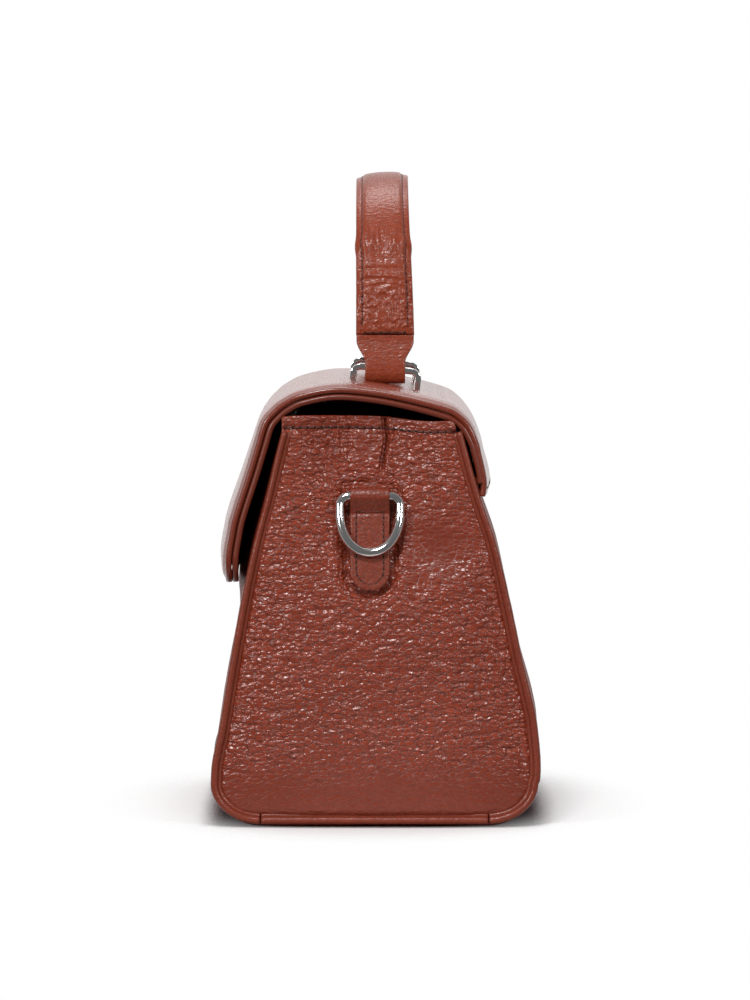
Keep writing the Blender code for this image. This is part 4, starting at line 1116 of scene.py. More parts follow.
class SATCHEL_OT_piping(bpy.types.Operator):
    """Adds the covered cord round each end, in three lengths that meet at the base"""

    bl_idname = "satchel.piping"
    bl_label = "Piping"

    def execute(self, context):
        bag = Satchel(context)
        corner = bag.corner(BACK, 0.0, PIPING_HEIGHT, 22)
        joint = bag.depth - CORNER_REACH + PIPING_JOINT
        for word, end in SIDES:
            x = end * (bag.length / 2 - bag.piping)
            for name, side in (("front", FRONT), ("back", BACK)):
                up = bag.wall(side, WIDEST_HEIGHT, bag.height - PIPING_TOP_DROP, 0.0, 90)
                path = [(side * y, z) for y, z in corner] + up[1:]
                path[0] = (side * joint, path[0][1])
                points, radii = [], []
                for i, (y, z) in enumerate(path):
                    wander = 0.10 * MM * noise.noise(Vector((y * 60, z * 60, side + 5 * end)))
                    drawn = smooth((z - 0.08) / 0.05)
                    points.append((x + end * wander, y + wander - side * PIPING_DRAWN_IN * drawn, z))
                    radii.append(1.0 - 0.14 * drawn + 0.05 * noise.noise(Vector((y * 240, z * 240, side))))
                self.cord(f"{name}_{word}", points, radii, end, bag.piping)
            reach = joint - PIPING_JOINT
            points = [(x, y, PIPING_HEIGHT) for y in spaced(-reach, reach, 60)]
            radii = [1.0 + 0.04 * noise.noise(Vector((p[1] * 200, 3.0, end))) for p in points]
            self.cord(f"base_{word}", points, radii, end, bag.piping)
        return {"FINISHED"}

    def cord(self, name, points, radii, end, radius):
        """A length of piping, and the sewn edges behind it, which fill the corner between gusset and wall."""
        mesh = curve_mesh(f"piping_cord_{name}", points, radius, radii=radii)
        finished(mesh, "trim_leather", "bag_body", "smooth_leather", f"piping_{name}")
        inner = []
        for i, (x, y, z) in enumerate(points):
            before, after = Vector(points[max(i - 1, 0)]), Vector(points[min(i + 1, len(points) - 1)])
            aside = Vector((0.0, before.z - after.z, after.y - before.y)).normalized()
            if aside.dot(Vector((0.0, -y, 0.08 - z))) < 0:
                aside.negate()
            spot = Vector((x - end * 0.9 * radius, y, z)) + aside * 1.1 * radius
            inner.append(tuple(spot))
        finished(curve_mesh(f"seam_fold_{name}", inner, 0.95 * radius), "trim_leather", "bag_body", "smooth_leather")


FLAP_STITCH_INSET = 3.4 * MM
FLAP_WALL = 2.42 * MM
FLAP_COLUMNS = 150


class Flap:
    """The flap's surface, as wide as the bag and rounded at its two free corners."""

    def __init__(self, bag):
        self.bag = bag
        self.route = bag.flap_route()
        self.half = bag.length / 2 - FLAP_END_INSET
        self.length = self.route.length
        turn = self.length - FLAP_CORNER
        self.marks = spaced(0.0, turn, 170)
        turned = [turn + FLAP_CORNER * math.sin(a) for a in spaced(0.0, math.pi / 2, 20)[1:]]
        self.marks += [mark for mark in turned if mark < self.length - 0.9 * MM] + [self.length]

    def half_at(self, mark):
        left = clamp((self.length - mark) / FLAP_CORNER)
        return self.half - FLAP_CORNER * (1 - math.sqrt(1 - (1 - left) ** 2))

    def from_rim(self, x, mark):
        across, ahead = self.half - abs(x), self.length - mark
        if across < FLAP_CORNER and ahead < FLAP_CORNER:
            return FLAP_CORNER - math.hypot(FLAP_CORNER - across, FLAP_CORNER - ahead)
        return min(across, ahead)

    def point(self, x, mark, aside):
        return self.bag.on_flap(self.route, mark, x, aside)

    def high(self, x, mark, sign):
        """How far the outer leather, or the lining, stands from the middle of the flap's thickness."""
        off = self.from_rim(x, mark)
        seen = smooth((mark - 0.012) / 0.03)
        along = 1 - (x / self.half) ** 2
        high = FLAP_STACK / 2 + FLAP_RIM_GROWTH * seen * (1.0 if sign > 0 else fade(max(off - 2 * MM, 0.0), 6 * MM))
        high += 0.20 * MM * noise.noise(Vector((x * 34, mark * 36, 21.0 + sign))) * clamp(off / 0.01)
        if sign > 0:
            back = smooth((0.075 - mark) / 0.03)
            crown = FLAP_ROLL_RISE * smooth((off - 0.8 * MM) / FLAP_ROLL)
            return high + seen * (crown + (FLAP_CROWN + 0.3 * MM * back) * smooth((off - 2 * MM) / 0.012))
        front = smooth((mark - 0.085) / 0.02) * smooth(off / 0.008)
        return high + FLAP_SAG * along * front

    def outward(self, mark):
        away = self.route.at(mark, 1.0) - self.route.at(mark)
        return Vector((0.0, away.x, away.y))


def across_hinge(piece):
    """Bakes a piece of the flap's placement into its mesh."""
    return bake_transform(piece)


class SATCHEL_OT_flap(bpy.types.Operator):
    """Adds the flap's outer leather, its lining and its stitches"""

    bl_idname = "satchel.flap"
    bl_label = "Flap"

    def execute(self, context):
        bag = Satchel(context)
        flap = Flap(bag)
        for name, sign, start, node, finish, slot, inner in (
            ("flap_leather", 1, 0.0, "flap_outer", "flap_pebbled_leather", "grained_leather", 0.64),
            ("flap_lining_leather", -1, FLAP_LINING_LIFT, "flap_lining", "flap_lining_leather", "smooth_leather", 0.5),
        ):
            marks = [mark for mark in flap.marks if mark >= start]
            shares = spaced(-1.0, 1.0, FLAP_COLUMNS)

            def place(column, row, marks=marks, sign=sign):
                mark = marks[row]
                x = shares[column] * flap.half_at(mark)
                return flap.point(x, mark, sign * flap.high(x, mark, sign))

            def rim_off(column, row, marks=marks):
                return max(flap.from_rim(shares[column] * flap.half_at(marks[row]), marks[row]) - 1.5 * MM, 0.0)

            out = flap.outward(marks[len(marks) // 2]) * sign
            # Near the rim the grain is pressed flat, and the leather paints it darker as shade
            mesh = sheet_mesh(
                name, FLAP_COLUMNS, len(marks) - 1, place, out,
                lambda column, row: fade(rim_off(column, row), 2.5 * MM), rest=True,
            )
            made = finished(mesh, finish, None, slot, node)
            give_wall(made, FLAP_WALL, steps=10, shares=[
                inner + (1 - inner) * fade(rim_off(column, row), 3 * MM)
                for row in range(len(marks)) for column in range(FLAP_COLUMNS + 1)
            ])
            across_hinge(made)
        reach = flap.half - FLAP_STITCH_INSET
        out = flap.outward(FLAP_STITCH_INSET)
        row = [(flap.point(x, FLAP_STITCH_INSET, FLAP_STACK / 2), out) for x in spaced(-reach, reach, 60)]
        across_hinge(sew("flap_stitches", [row], None, bag.sizes.stitch_pitch))
        return {"FINISHED"}


def bridge_outline():
    """The arch in its own plane: feet that stand into the leather, and corners rounded outside and inside."""
    half, inner = BRIDGE_SPAN / 2, BRIDGE_SPAN / 2 - BRIDGE_LEG
    inside = BRIDGE_CORNER - BRIDGE_LEG
    shoulder = BRIDGE_RISE - BRIDGE_CORNER
    under = BRIDGE_RISE - BRIDGE_BAR - inside
    feet = {FRONT: -1.9 * MM, BACK: -3.6 * MM}
    points = [(half, feet[BACK])]
    points += arc((half - BRIDGE_CORNER, shoulder), BRIDGE_CORNER, 0, 90, 12)
    points += arc((BRIDGE_CORNER - half, shoulder), BRIDGE_CORNER, 90, 180, 12)
    points += [(-half, feet[FRONT]), (-inner, feet[FRONT])]
    points += arc((inside - inner, under), inside, 180, 90, 7)
    points += arc((inner - inside, under), inside, 90, 0, 7)
    points.append((inner, feet[BACK]))
    return points


class SATCHEL_OT_bridges(bpy.types.Operator):
    """Adds the two polished bridges that carry the handle"""

    bl_idname = "satchel.bridges"
    bl_label = "Bridges"

    def execute(self, context):
        bag = Satchel(context)
        route = bag.flap_route()
        for word, end in SIDES:
            shape = bmesh.new()
            verts = [shape.verts.new((x, y, -BRIDGE_DEPTH / 2)) for x, y in bridge_outline()]
            face = shape.faces.new(verts)
            made = bmesh.ops.extrude_face_region(shape, geom=[face])
            lifted = [item for item in made["geom"] if isinstance(item, bmesh.types.BMVert)]
            bmesh.ops.translate(shape, vec=(0, 0, BRIDGE_DEPTH), verts=lifted)
            bmesh.ops.recalc_face_normals(shape, faces=shape.faces)
            rims = [edge for edge in shape.edges if edge.calc_face_angle(0.0) > math.radians(60)]
            bmesh.ops.bevel(
                shape, geom=rims, offset=0.42 * MM, offset_type="OFFSET", segments=4, profile=0.5,
                affect="EDGES", material=-1, clamp_overlap=True,
            )
            bmesh.ops.triangulate(shape, faces=[face for face in shape.faces if len(face.verts) > 4])
            frame_here = bag.bridge_frame(route, end)
            bmesh.ops.transform(shape, matrix=frame_here, verts=shape.verts)
            bmesh.ops.recalc_face_normals(shape, faces=shape.faces)
            mesh = mesh_from(f"bridge_metal_{word}", shape)
            finished(mesh, "polished_nickel", "flap", "polished_nickel", f"bridge_{word}")
            mesh.set_sharp_from_angle(angle=math.radians(32))
        return {"FINISHED"}


HANDLE_STITCH_INSET = 2.7 * MM
HANDLE_BUMP = 0.2295
HANDLE_CREASE = 0.2195
HANDLE_PATCH_END = 0.1935
HANDLE_SEED = 31.0


def ridge(x, z, seed, power):
    """Sharp crests of wrinkled leather, 0 to 1."""
    return (1 - abs(noise.noise(Vector((x, z, seed)))) * 1.6) ** power


def droop(across, z):
    """How much lower the top of the handle hangs, a little more at the front."""
    return smooth((z - 0.234) / 0.022) * (0.9 * MM - 0.062 * across)


def handle_relief(bag, across, half, z, seed, outer):
    """How far a ply of the handle stands out at a place across it and a height."""
    stitched = half - HANDLE_STITCH_INSET
    inside = clamp(1 - (across / stitched) ** 2)
    core = smooth((z - HANDLE_BUMP + 0.004) / 0.005)
    high = (0.25 + 0.85 * core) * MM * math.sqrt(inside) * (1.0 if outer else 0.6)
    high += 0.75 * MM * hill(z, HANDLE_BUMP - 0.001, 0.0035) * hill(abs(across), 0.0068, 0.0034)
    high -= 0.34 * MM * hill(abs(across), stitched, 0.6 * MM)
    low = smooth((bag.foot + 0.005 - z) / 0.002)
    high -= 0.30 * MM * hill(z, HANDLE_PATCH_END, 0.5 * MM) * smooth((stitched - abs(across)) / MM) * (1 - low)
    high -= 0.36 * MM * hill(z, HANDLE_CREASE, 0.7 * MM) * smooth((half - abs(across)) / (3 * MM))
    inner = smooth((half - abs(across)) / (2 * MM))
    patch = smooth((z - HANDLE_PATCH_END) / 0.003) * smooth((HANDLE_CREASE - 0.006 - z) / 0.004)
    arched = z + 14.0 * across**2
    arcs = smooth((z - HANDLE_CREASE + 0.011) / 0.004) * smooth((HANDLE_CREASE - z) / 0.002)
    bumped = hill(z, HANDLE_BUMP, 0.005)
    high += 0.80 * MM * ridge(across * 430, z * 190, seed, 3) * patch * inner
    high += 0.40 * MM * ridge(across * 800, z * 620, seed + 2, 3) * max(patch, 0.6 * arcs) * inner
    high += 0.65 * MM * ridge(across * 90, arched * 420, seed + 4, 3) * arcs * inner
    high += 0.75 * MM * ridge(abs(across) * 420 - z * 40, z * 80, seed + 6, 3) * bumped * inner
    high += 0.10 * MM * noise.noise(Vector((across * 120, z * 90, seed + 9)))
    sewn = smooth((z - bag.foot - LOOP_STEM - MM) / 0.005)
    high -= 0.8 * MM * sewn * smooth((abs(across) - stitched + 0.8 * MM) / (half - stitched + 0.2 * MM))
    return high - 0.28 * MM * (1 - clamp((half - abs(across)) / (1.2 * MM))) ** 2


class SATCHEL_OT_handle(bpy.types.Operator):
    """Adds the handle's two plies, its padding and the stitches along its edges"""

    bl_idname = "satchel.handle"
    bl_label = "Handle"

    def execute(self, context):
        bag = Satchel(context)
        route = bag.handle_route()
        bend = [HANDLE_SHOULDER * (1 - math.cos(a)) for a in spaced(0.0, math.pi / 2, 12)]
        marks = bend[:-1] + spaced(HANDLE_SHOULDER, route.length - HANDLE_SHOULDER, 400)
        marks += [route.length - mark for mark in reversed(bend[:-1])]
        middles = [route.at(mark) for mark in marks]
        shares = spaced(-1.0, 1.0, 44)

        def half_at(z):
            return bag.handle_half(z) + 0.55 * MM * hill(z, HANDLE_BUMP - 0.0008, 0.0026)

        def point(across, mark, middle, sign):
            """A point on a ply's face; its two halves wrinkle differently."""
            seed = math.copysign(HANDLE_SEED, middle.x) + sign
            high = handle_relief(bag, across, half_at(middle.y), middle.y, seed, sign > 0)
            x, height = route.at(mark, sign * (PLY_ASIDE + HANDLE_PLY / 2 + high))
            return Vector((x, bag.handle_middle(height) + across, height - droop(across, height)))

        def stitch(across, mark, middle, sign):
            away = route.at(mark, sign) - middle
            return point(across, mark, middle, sign), Vector((away.x, 0.0, away.y))

        every = list(zip(marks, middles))
        for name, sign, node in (("handle_leather", 1, "handle_outer"), ("handle_inner_leather", -1, "handle_lining")):
            rows = [(mark, middle) for mark, middle in every if sign < 0 or middle.y > HANDLE_PATCH_END - 0.2 * MM]

            def place(column, row, sign=sign, rows=rows):
                mark, middle = rows[row]
                return point(shares[column] * half_at(middle.y), mark, middle, sign)

            mesh = sheet_mesh(name, len(shares) - 1, len(rows) - 1, place, (0, 0, sign))
            made = finished(mesh, "handle_pebbled_leather", "handle", "grained_leather", node)
            give_wall(made, HANDLE_PLY)

        filled = [row for row in every if row[1].y > HANDLE_BUMP - MM]

        def inside(column, row):
            mark, (x, z) = filled[row]
            across = (column / 8 - 1) * bag.handle_half(z) * CORE_SHARE
            return Vector((x, bag.handle_middle(z) + across, z - droop(across, z)))

        mesh = sheet_mesh("handle_padding", 16, len(filled) - 1, inside, (0, 0, 1))
        made = finished(mesh, "padding", "handle", "handle_padding", "handle_core")
        give_wall(made, CORE_THICKNESS - 2 * GAP, seat=0.0)

        rows = []
        for sign in (1, -1):
            for side in (-1, 1):
                row = []
                for mark in spaced(8.2 * MM, route.length - 8.2 * MM, 220):
                    middle = route.at(mark)
                    row.append(stitch(side * (half_at(middle.y) - HANDLE_STITCH_INSET), mark, middle, sign))
                rows.append(row)
            for start in (1, 0):
                low = HANDLE_PATCH_END - 0.2 * MM
                test = (lambda p: p.y >= low) if start else (lambda p: p.x < 0 and p.y <= low)
                mark = route.distance_of(test)
                middle = route.at(mark)
                reach = half_at(middle.y) - HANDLE_STITCH_INSET - 1.2 * MM
                rows.append([stitch(across, mark, middle, sign) for across in spaced(-reach, reach, 8)])
        sew("handle_stitches", rows, "handle", bag.sizes.stitch_pitch, slot="grained_leather")
        return {"FINISHED"}


def loop_route(bag, route):
    """The strap seen from the front: down from the handle's seam, under the bar and up between the plies."""
    aside = (LOOP_PLY + GAP) / 2
    up = [tuple(route.at(mark, -aside)) for mark in spaced(LOOP_STEM, 0.0, 10)]
    bar_half = BRIDGE_BAR / 2 + LOOP_WIDTH / 2 * math.tan(abs(BRIDGE_TILT))
    out = BRIDGE_DEPTH / 2 + 2 * GAP + LOOP_PLY / 2 + 0.2 * MM
    drop = bar_half + LOOP_SLACK + GAP + LOOP_PLY / 2 + 0.25 * MM
    belly = drop - bar_half + BRIDGE_BAR / 2
    split = bar_half + 2 * out - 2 * LOOP_PLY
    flush = PLY_ASIDE + HANDLE_PLY / 2 - LOOP_PLY / 2
    seam = HANDLE_PATCH_END - 0.1 * MM - bag.bar
    low = [(flush + 0.1 * MM, seam), (flush + 0.2 * MM, seam - 3 * MM), (out - 0.5 * MM, bar_half + 4 * MM)]
    low += [(out, bar_half)]
    low += [(out * math.cos(a), belly - drop - belly * math.sin(a)) for a in spaced(0.0, math.pi, 12)]
    low += [(-out, bar_half), (-aside, split)]
    return Route([(BRIDGE_X + x, bag.bar + z) for x, z in low] + list(reversed(up)), fineness=5)


class SATCHEL_OT_loops(bpy.types.Operator):
    """Adds the straps that narrow below the handle and loop round its bridges"""

    bl_idname = "satchel.loops"
    bl_label = "Loops"

    def execute(self, context):
        bag = Satchel(context)
        path = loop_route(bag, bag.handle_route())
        marks = spaced(0.0, path.length, 230)
        turned = path.distance_of(lambda point: point.y < bag.bar)
        full = bag.handle_half(HANDLE_PATCH_END + 2 * MM) - 0.35 * MM
        for word, end in SIDES:

            def place(column, row, end=end):
                z = path.at(marks[row]).y
                wide = smooth((z - STRAP_NECK) / (STRAP_SHOULDER - STRAP_NECK)) if marks[row] < turned else 0.0
                half = LOOP_WIDTH / 2 + (full - LOOP_WIDTH / 2) * wide
                across = (column / 14 - 1) * half
                ridge = 0.22 * MM * math.sqrt(1 - (across / half) ** 2) - 0.2 * MM
                ridge -= 0.22 * MM * (1 - clamp((half - abs(across)) / (1.1 * MM))) ** 2
                ridge += 0.12 * MM * noise.noise(Vector((across * 190, marks[row] * 150, 41.0 + end)))
                ridge *= 1 - 0.85 * smooth((marks[row] - turned + 3 * MM) / (3 * MM))
                x, z = path.at(marks[row], -ridge)
                return Vector((end * x, bag.handle_middle(z) + across, z))

            mesh = sheet_mesh(f"loop_leather_{word}", 28, len(marks) - 1, place, (0, 0, -1), rest=True)
            made = finished(mesh, "loop_pebbled_leather", None, "grained_leather", f"handle_loop_{word}")
            give_wall(made, 0.85 * LOOP_PLY, seat=0.0)
            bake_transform(made)
        return {"FINISHED"}


class Tab:
    """The stitched tab that folds over a ring's bar, and where that bar is."""

    def __init__(self, bag):
        self.bag = bag
        round_in = TAB_WIDTH / 2 - GAP
        low = [TAB_BOTTOM + round_in * (1 - math.cos(a)) for a in spaced(0.0, math.pi / 2, 14)]
        leg = low + spaced(low[-1], RING_BAR_HEIGHT - TAB_JOIN_DROP, 14)[1:]
        eye = RING_WIRE + GAP + TAB_THICKNESS / 2
        self.bar_x = self.seat(RING_BAR_HEIGHT) + TAB_THICKNESS / 2 + eye
        path = [(self.seat(z) + TAB_THICKNESS / 2, z) for z in leg]
        path += arc((self.bar_x, RING_BAR_HEIGHT), eye, 180, -40, 22)
        path += [(self.seat(z) + TAB_THICKNESS * 1.5 + GAP, z) for z in reversed(leg)]
        self.route = Route(path, fineness=3)

    def seat(self, z):
        """How far out the gusset's face reaches behind the tab at height z."""
        most = max(plain_puff(self.bag, TAB_Y + side * TAB_WIDTH / 2, z) for side in (-1, 0, 1))
        return self.bag.length / 2 - GUSSET_RECESS + most + GAP

    def half_at(self, z):
        round_in = TAB_WIDTH / 2 - GAP
        fall = 1 - clamp((z - TAB_BOTTOM) / round_in)
        return GAP + round_in * math.sqrt(max(1 - fall**2, 0.0))

    def front(self, y, z, end, aside):
        """A point on the tab's front leg, which is sewn to the gusset."""
        mark = self.route.length / 2
        while self.route.at(mark).y > z and mark < self.route.length:
            mark += 0.1 * MM
        x, height = self.route.at(mark, aside)
        return Vector((end * x, y, height))


class SATCHEL_OT_tabs(bpy.types.Operator):
    """Adds the stitched tab on each end and the strap ring that hangs in it"""

    bl_idname = "satchel.tabs"
    bl_label = "Tabs and rings"

    def execute(self, context):
        bag = Satchel(context)
        tab = Tab(bag)
        marks = spaced(0.0, tab.route.length, 190)
        reach = TAB_WIDTH / 2 - TAB_STITCH_INSET
        for word, end in SIDES:

            def place(column, row, end=end):
                share = column / 14 - 1
                middle = tab.route.at(marks[row])
                half = tab.half_at(middle.y)
                across = share * half
                front_leg = marks[row] > tab.route.length / 2
                high = 0.22 * MM * clamp(1 - (across / max(reach, MM)) ** 2) if front_leg else 0.0
                high -= 0.16 * MM * (1 - clamp((half - abs(across)) / MM)) ** 2
                high += 0.07 * MM * noise.noise(Vector((across * 200, marks[row] * 200, 51.0 + end)))
                x, z = tab.route.at(marks[row], -high)
                return Vector((end * x, TAB_Y + across, z))

            mesh = sheet_mesh(f"tab_leather_{word}", 28, len(marks) - 1, place, (0, 0, 1))
            made = finished(mesh, "tab_leather", "bag_body", "smooth_leather", f"ring_tab_{word}")
            give_wall(made, TAB_THICKNESS, seat=0.0)

            middle = TAB_BOTTOM + TAB_WIDTH / 2
            path = [(-reach, z) for z in spaced(TAB_STITCH_TOP, middle, 16)]
            path += [(-reach * math.cos(a), middle - reach * math.sin(a)) for a in spaced(0.0, math.pi, 16)[1:-1]]
            path += [(reach, z) for z in spaced(middle, TAB_STITCH_TOP, 16)]
            face = -TAB_THICKNESS / 2 - 0.06 * MM
            out = Vector((end, 0.0, 0.0))
            rows = [[(tab.front(TAB_Y + y, z, end, face), out) for y, z in path]]
            across = spaced(1.3 * MM - reach, reach - 1.3 * MM, 6)
            rows.append([(tab.front(TAB_Y + y, TAB_STITCH_TOP, end, face), out) for y in across])
            sew(f"tab_stitches_{word}", rows, "bag_body", TAB_STITCH_PITCH, TAB_STITCH_WIDTH)

            foot = RING_BAR_HEIGHT - RING_DROP
            foot_x = tab.seat(foot) + 2 * TAB_THICKNESS + 2 * GAP + RING_WIRE
            hang = Vector((foot_x - tab.bar_x, 0.0, foot - RING_BAR_HEIGHT)).normalized()
            points = []
            for y, drop in ring_outline():
                spot = Vector((tab.bar_x, TAB_Y + y, RING_BAR_HEIGHT)) - hang * drop
                points.append((end * spot.x, spot.y, spot.z))
            mesh = curve_mesh(f"ring_metal_{word}", points, RING_WIRE, closed=True, sides=8)
            finished(mesh, "polished_nickel", f"ring_{word}", "polished_nickel", f"d_ring_{word}")
        return {"FINISHED"}


def ring_outline():
    """The ring in its own plane: a straight bar on top, rounded shoulders and a deep bow below."""
    straight = RING_HALF - RING_CORNER
    points = [(y, 0.0) for y in spaced(-straight, straight, 8)[1:-1]]
    points += arc((straight, -RING_CORNER), RING_CORNER, 90, 0, 14)
    bow = RING_DROP - RING_SHOULDER_DROP
    for angle in spaced(0.0, math.pi, 64):
        points.append((RING_HALF * math.cos(angle), -RING_SHOULDER_DROP - bow * math.sin(angle)))
    return points + arc((-straight, -RING_CORNER), RING_CORNER, 180, 90, 14)


class SATCHEL_OT_finishes(bpy.types.Operator):
    """Makes the materials, and gives the solid's own pieces theirs"""

    bl_idname = "satchel.finishes"
    bl_label = "Finishes"

    def execute(self, context):
        colours = context.scene.satchel_colours
        pebble = context.scene.satchel_sizes.pebble
        pebble_grain()
        mottle()
        hide, trim = tuple(colours.leather), tuple(colours.trim)
        rows = (1.0, 0.62, 1.0)
        leather("gusset_pebbled_leather", hide, pebble * 0.86, 0.95 * MM, 0.245, rows, shine=0.54)
        leather("panel_pebbled_leather", hide, pebble * 0.8, 0.85 * MM, 0.46, (0.8, 1.0, 1.0), shine=0.25)
        leather("flap_pebbled_leather", hide, pebble * 0.8, 0.22 * MM, 0.24, (0.8, 1.0, 1.0), "rest", coat=0.35)
        strap = tuple(channel * share for channel, share in zip(hide, (1.08, 1.22, 1.12)))
        leather("handle_pebbled_leather", strap, pebble * 0.46, 0.11 * MM, 0.23, rows, shine=0.36)
        leather("loop_pebbled_leather", strap, pebble * 0.46, 0.16 * MM, 0.23, rows, "rest", shine=0.46)
        leather("trim_leather", trim, pebble * 0.5, 0.06 * MM, 0.26)
        leather("tab_leather", trim, pebble * 0.7, 0.16 * MM, 0.28)
        leather("flap_lining_leather", trim, pebble * 0.55, 0.06 * MM, 0.26, follow="rest")
        plain("sewing_thread", tuple(colours.thread), 0.6, 0.3 * MM)
        # Painted shade: near-black beads stand for the shade inside the needle holes
        plain("needle_holes", (0.012, 0.003, 0.002), 0.9, 0.3 * MM)
        plain("board", (0.30, 0.26, 0.21), 0.8, 0.5 * MM)
        plain("padding", (0.08, 0.08, 0.08), 0.9, 0.6 * MM)
        cloth("lining_cloth", tuple(colours.lining))
        # polished_nickel's colour is partly painted reflection: its pinkish tint stands for the brown leather it
        # reflects
        metal("polished_nickel", tuple(colours.metal), 0.12, 0.02)
        metal("plain_steel", (0.45, 0.45, 0.45), 0.32, 0.15)
        finishes = {
            "lining_body": "lining_cloth", "lining_gusset": "lining_cloth", "mouth_trim": "trim_leather",
            "board": "board", "magnet": "plain_steel", "plate": "plain_steel", "screw": "plain_steel",
            "seam_strip": "panel_pebbled_leather", "core": "padding",
        }
        for name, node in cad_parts.items():
            for word, finish in finishes.items():
                if word in name:
                    node.data.materials.clear()
                    node.data.materials.append(bpy.data.materials[finish])
        return {"FINISHED"}


# Each lamp's place, the height it faces, its width, and its share of the side or top lamps' power
LAMPS = {
    "lamp_front_left": ((2.0, -1.5, 0.9), 0.12, 0.42, "side_power", 1.0),
    "lamp_front_right": ((2.0, 1.5, 0.9), 0.12, 0.42, "side_power", 0.7),
    "lamp_key": ((1.6, -0.35, 1.7), 0.12, 0.36, "side_power", 1.0),
    "lamp_overhead": ((-0.5, 0.0, 1.9), 0.1, 1.0, "top_power", 1.0),
}
CAMERA_LENS = 273.4
CAMERA_PLACE = (3.125, 0.0002, 0.2591)
CAMERA_AIM = (0.125, 0.0002, 0.1296)


def lamp(name, place, target, size, power):
    """A square soft lamp that faces a target and isn't seen itself."""
    data = bpy.data.lights.new(name, "AREA")
    data.size = size
    data.energy = power
    made = bpy.data.objects.new(name, data)
    bpy.context.scene.collection.objects.link(made)
    made.location = place
    made.rotation_euler = (Vector(target) - Vector(place)).to_track_quat("-Z", "Y").to_euler()
    made.visible_camera = False


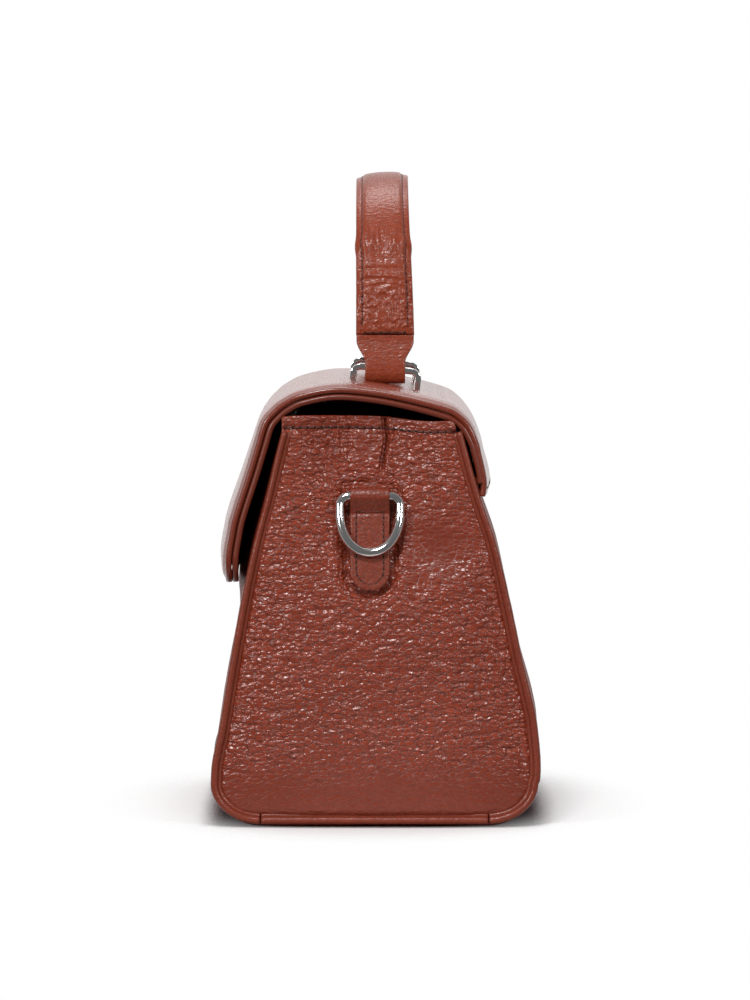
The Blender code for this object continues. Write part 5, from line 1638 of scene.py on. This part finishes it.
class SATCHEL_OT_studio(bpy.types.Operator):
    """Adds the pale floor with its painted contact shadow, the soft lamps, the room's light and the camera"""

    bl_idname = "satchel.studio"
    bl_label = "Studio"

    def execute(self, context):
        studio = context.scene.satchel_studio
        scene = context.scene
        shape = bmesh.new()
        bmesh.ops.create_grid(shape, x_segments=1, y_segments=1, size=4.0)
        mesh = mesh_from("floor", shape)
        floor = bpy.data.objects.new("floor", mesh)
        scene.collection.objects.link(floor)
        mesh.materials.append(self.floor_material())
        self.light_room(scene, studio)
        for name, (place, aim, size, kind, share) in LAMPS.items():
            lamp(name, place, (0.0, 0.0, aim), size, getattr(studio, kind) * share)
        data = bpy.data.cameras.new("camera")
        data.lens = CAMERA_LENS
        data.sensor_width = 36.0
        camera = bpy.data.objects.new("camera", data)
        scene.collection.objects.link(camera)
        camera.location = CAMERA_PLACE
        aim = Vector(CAMERA_AIM) - camera.location
        camera.rotation_euler = aim.to_track_quat("-Z", "Y").to_euler()
        scene.camera = camera
        scene.view_settings.view_transform = "Standard"
        return {"FINISHED"}

    def seen(self, make, glossy):
        """1 for rays of the camera and through glass, and the glossy value for reflections."""
        path = make.add("ShaderNodeLightPath").outputs
        direct = make.math("MAXIMUM", path["Is Camera Ray"], path["Is Transmission Ray"])
        return make.math("MAXIMUM", direct, make.math("MULTIPLY", path["Is Glossy Ray"], glossy))

    def floor_material(self):
        material = bpy.data.materials.new("pale_floor")
        material.use_nodes = True
        tree = material.node_tree
        tree.nodes.clear()
        make = Nodes(tree)
        place = make.add("ShaderNodeTexCoord").outputs["Object"]
        spread = make.vector("MULTIPLY", place, (1.0, 2.0, 0.0))
        away = make.add("ShaderNodeVectorMath", {0: spread}, operation="LENGTH").outputs["Value"]
        # Painted shadow: ambient occlusion near the bag mixes the floor toward a dark (0.10, 0.07, 0.07) contact
        # shadow; pale is the floor colour with that shadow in it
        contact_shadow_ao = make.add("ShaderNodeAmbientOcclusion", {"Distance": 0.017}, samples=8).outputs["AO"]
        pale = make.mix(make.ramp(contact_shadow_ao, 0.52, 0.80), (0.10, 0.07, 0.07, 1.0), (0.93, 0.93, 0.93, 1.0))
        tone = make.mix(self.seen(make, 1.0), (0.82, 0.82, 0.82, 1.0), pale)
        shown = make.add("ShaderNodeBsdfDiffuse", {"Color": tone}).outputs[0]
        clear = make.add("ShaderNodeBsdfTransparent").outputs[0]
        fading = make.add("ShaderNodeMixShader", {0: make.ramp(away, 0.13, 0.24), 1: shown, 2: clear})
        make.add("ShaderNodeOutputMaterial", {"Surface": fading.outputs[0]})
        return material

    def light_room(self, scene, studio):
        world = bpy.data.worlds.new("pale_room")
        scene.world = world
        world.use_nodes = True
        world.node_tree.nodes.clear()
        make = Nodes(world.node_tree)
        way = make.add("ShaderNodeSeparateXYZ", {0: make.add("ShaderNodeTexCoord").outputs["Generated"]}).outputs[0]
        glossy = make.ramp(way, -0.6, 0.45, studio.backdrop, studio.behind_camera)
        lit = make.math("MULTIPLY", make.add("ShaderNodeLightPath").outputs["Is Diffuse Ray"], studio.ambient)
        strength = make.math("MAXIMUM", self.seen(make, glossy), lit)
        back = make.add("ShaderNodeBackground", {"Color": (1.0, 1.0, 1.0, 1.0), "Strength": strength})
        make.add("ShaderNodeOutputWorld", {"Surface": back.outputs[0]})


STEPS = (
    SATCHEL_OT_finishes, SATCHEL_OT_gussets, SATCHEL_OT_walls, SATCHEL_OT_piping, SATCHEL_OT_flap,
    SATCHEL_OT_bridges, SATCHEL_OT_handle, SATCHEL_OT_loops, SATCHEL_OT_tabs, SATCHEL_OT_studio,
)
GROUPS = {
    "satchel_sizes": SatchelSizes, "satchel_colours": SatchelColours, "satchel_studio": SatchelStudio,
}


class SATCHEL_PT_panel(bpy.types.Panel):
    """Lists the satchel's sizes, colours and pieces"""

    bl_idname = "SATCHEL_PT_panel"
    bl_label = "Satchel"
    bl_space_type = "VIEW_3D"
    bl_region_type = "UI"
    bl_category = "Satchel"

    def draw(self, context):
        for name, kind in GROUPS.items():
            box = self.layout.box()
            for key in kind.__annotations__:
                box.prop(getattr(context.scene, name), key)
        for step in STEPS:
            self.layout.operator(step.bl_idname)


def register():
    for kind in (*GROUPS.values(), *STEPS, SATCHEL_PT_panel):
        bpy.utils.register_class(kind)
    for name, kind in GROUPS.items():
        setattr(bpy.types.Scene, name, PointerProperty(type=kind))


def unregister():
    for name in GROUPS:
        delattr(bpy.types.Scene, name)
    for kind in reversed((*GROUPS.values(), *STEPS, SATCHEL_PT_panel)):
        bpy.utils.unregister_class(kind)


def main():
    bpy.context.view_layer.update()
    register()
    for step in STEPS:
        family, word = step.bl_idname.split(".")
        getattr(getattr(bpy.ops, family), word)()


if __name__ == "__main__":
    main()
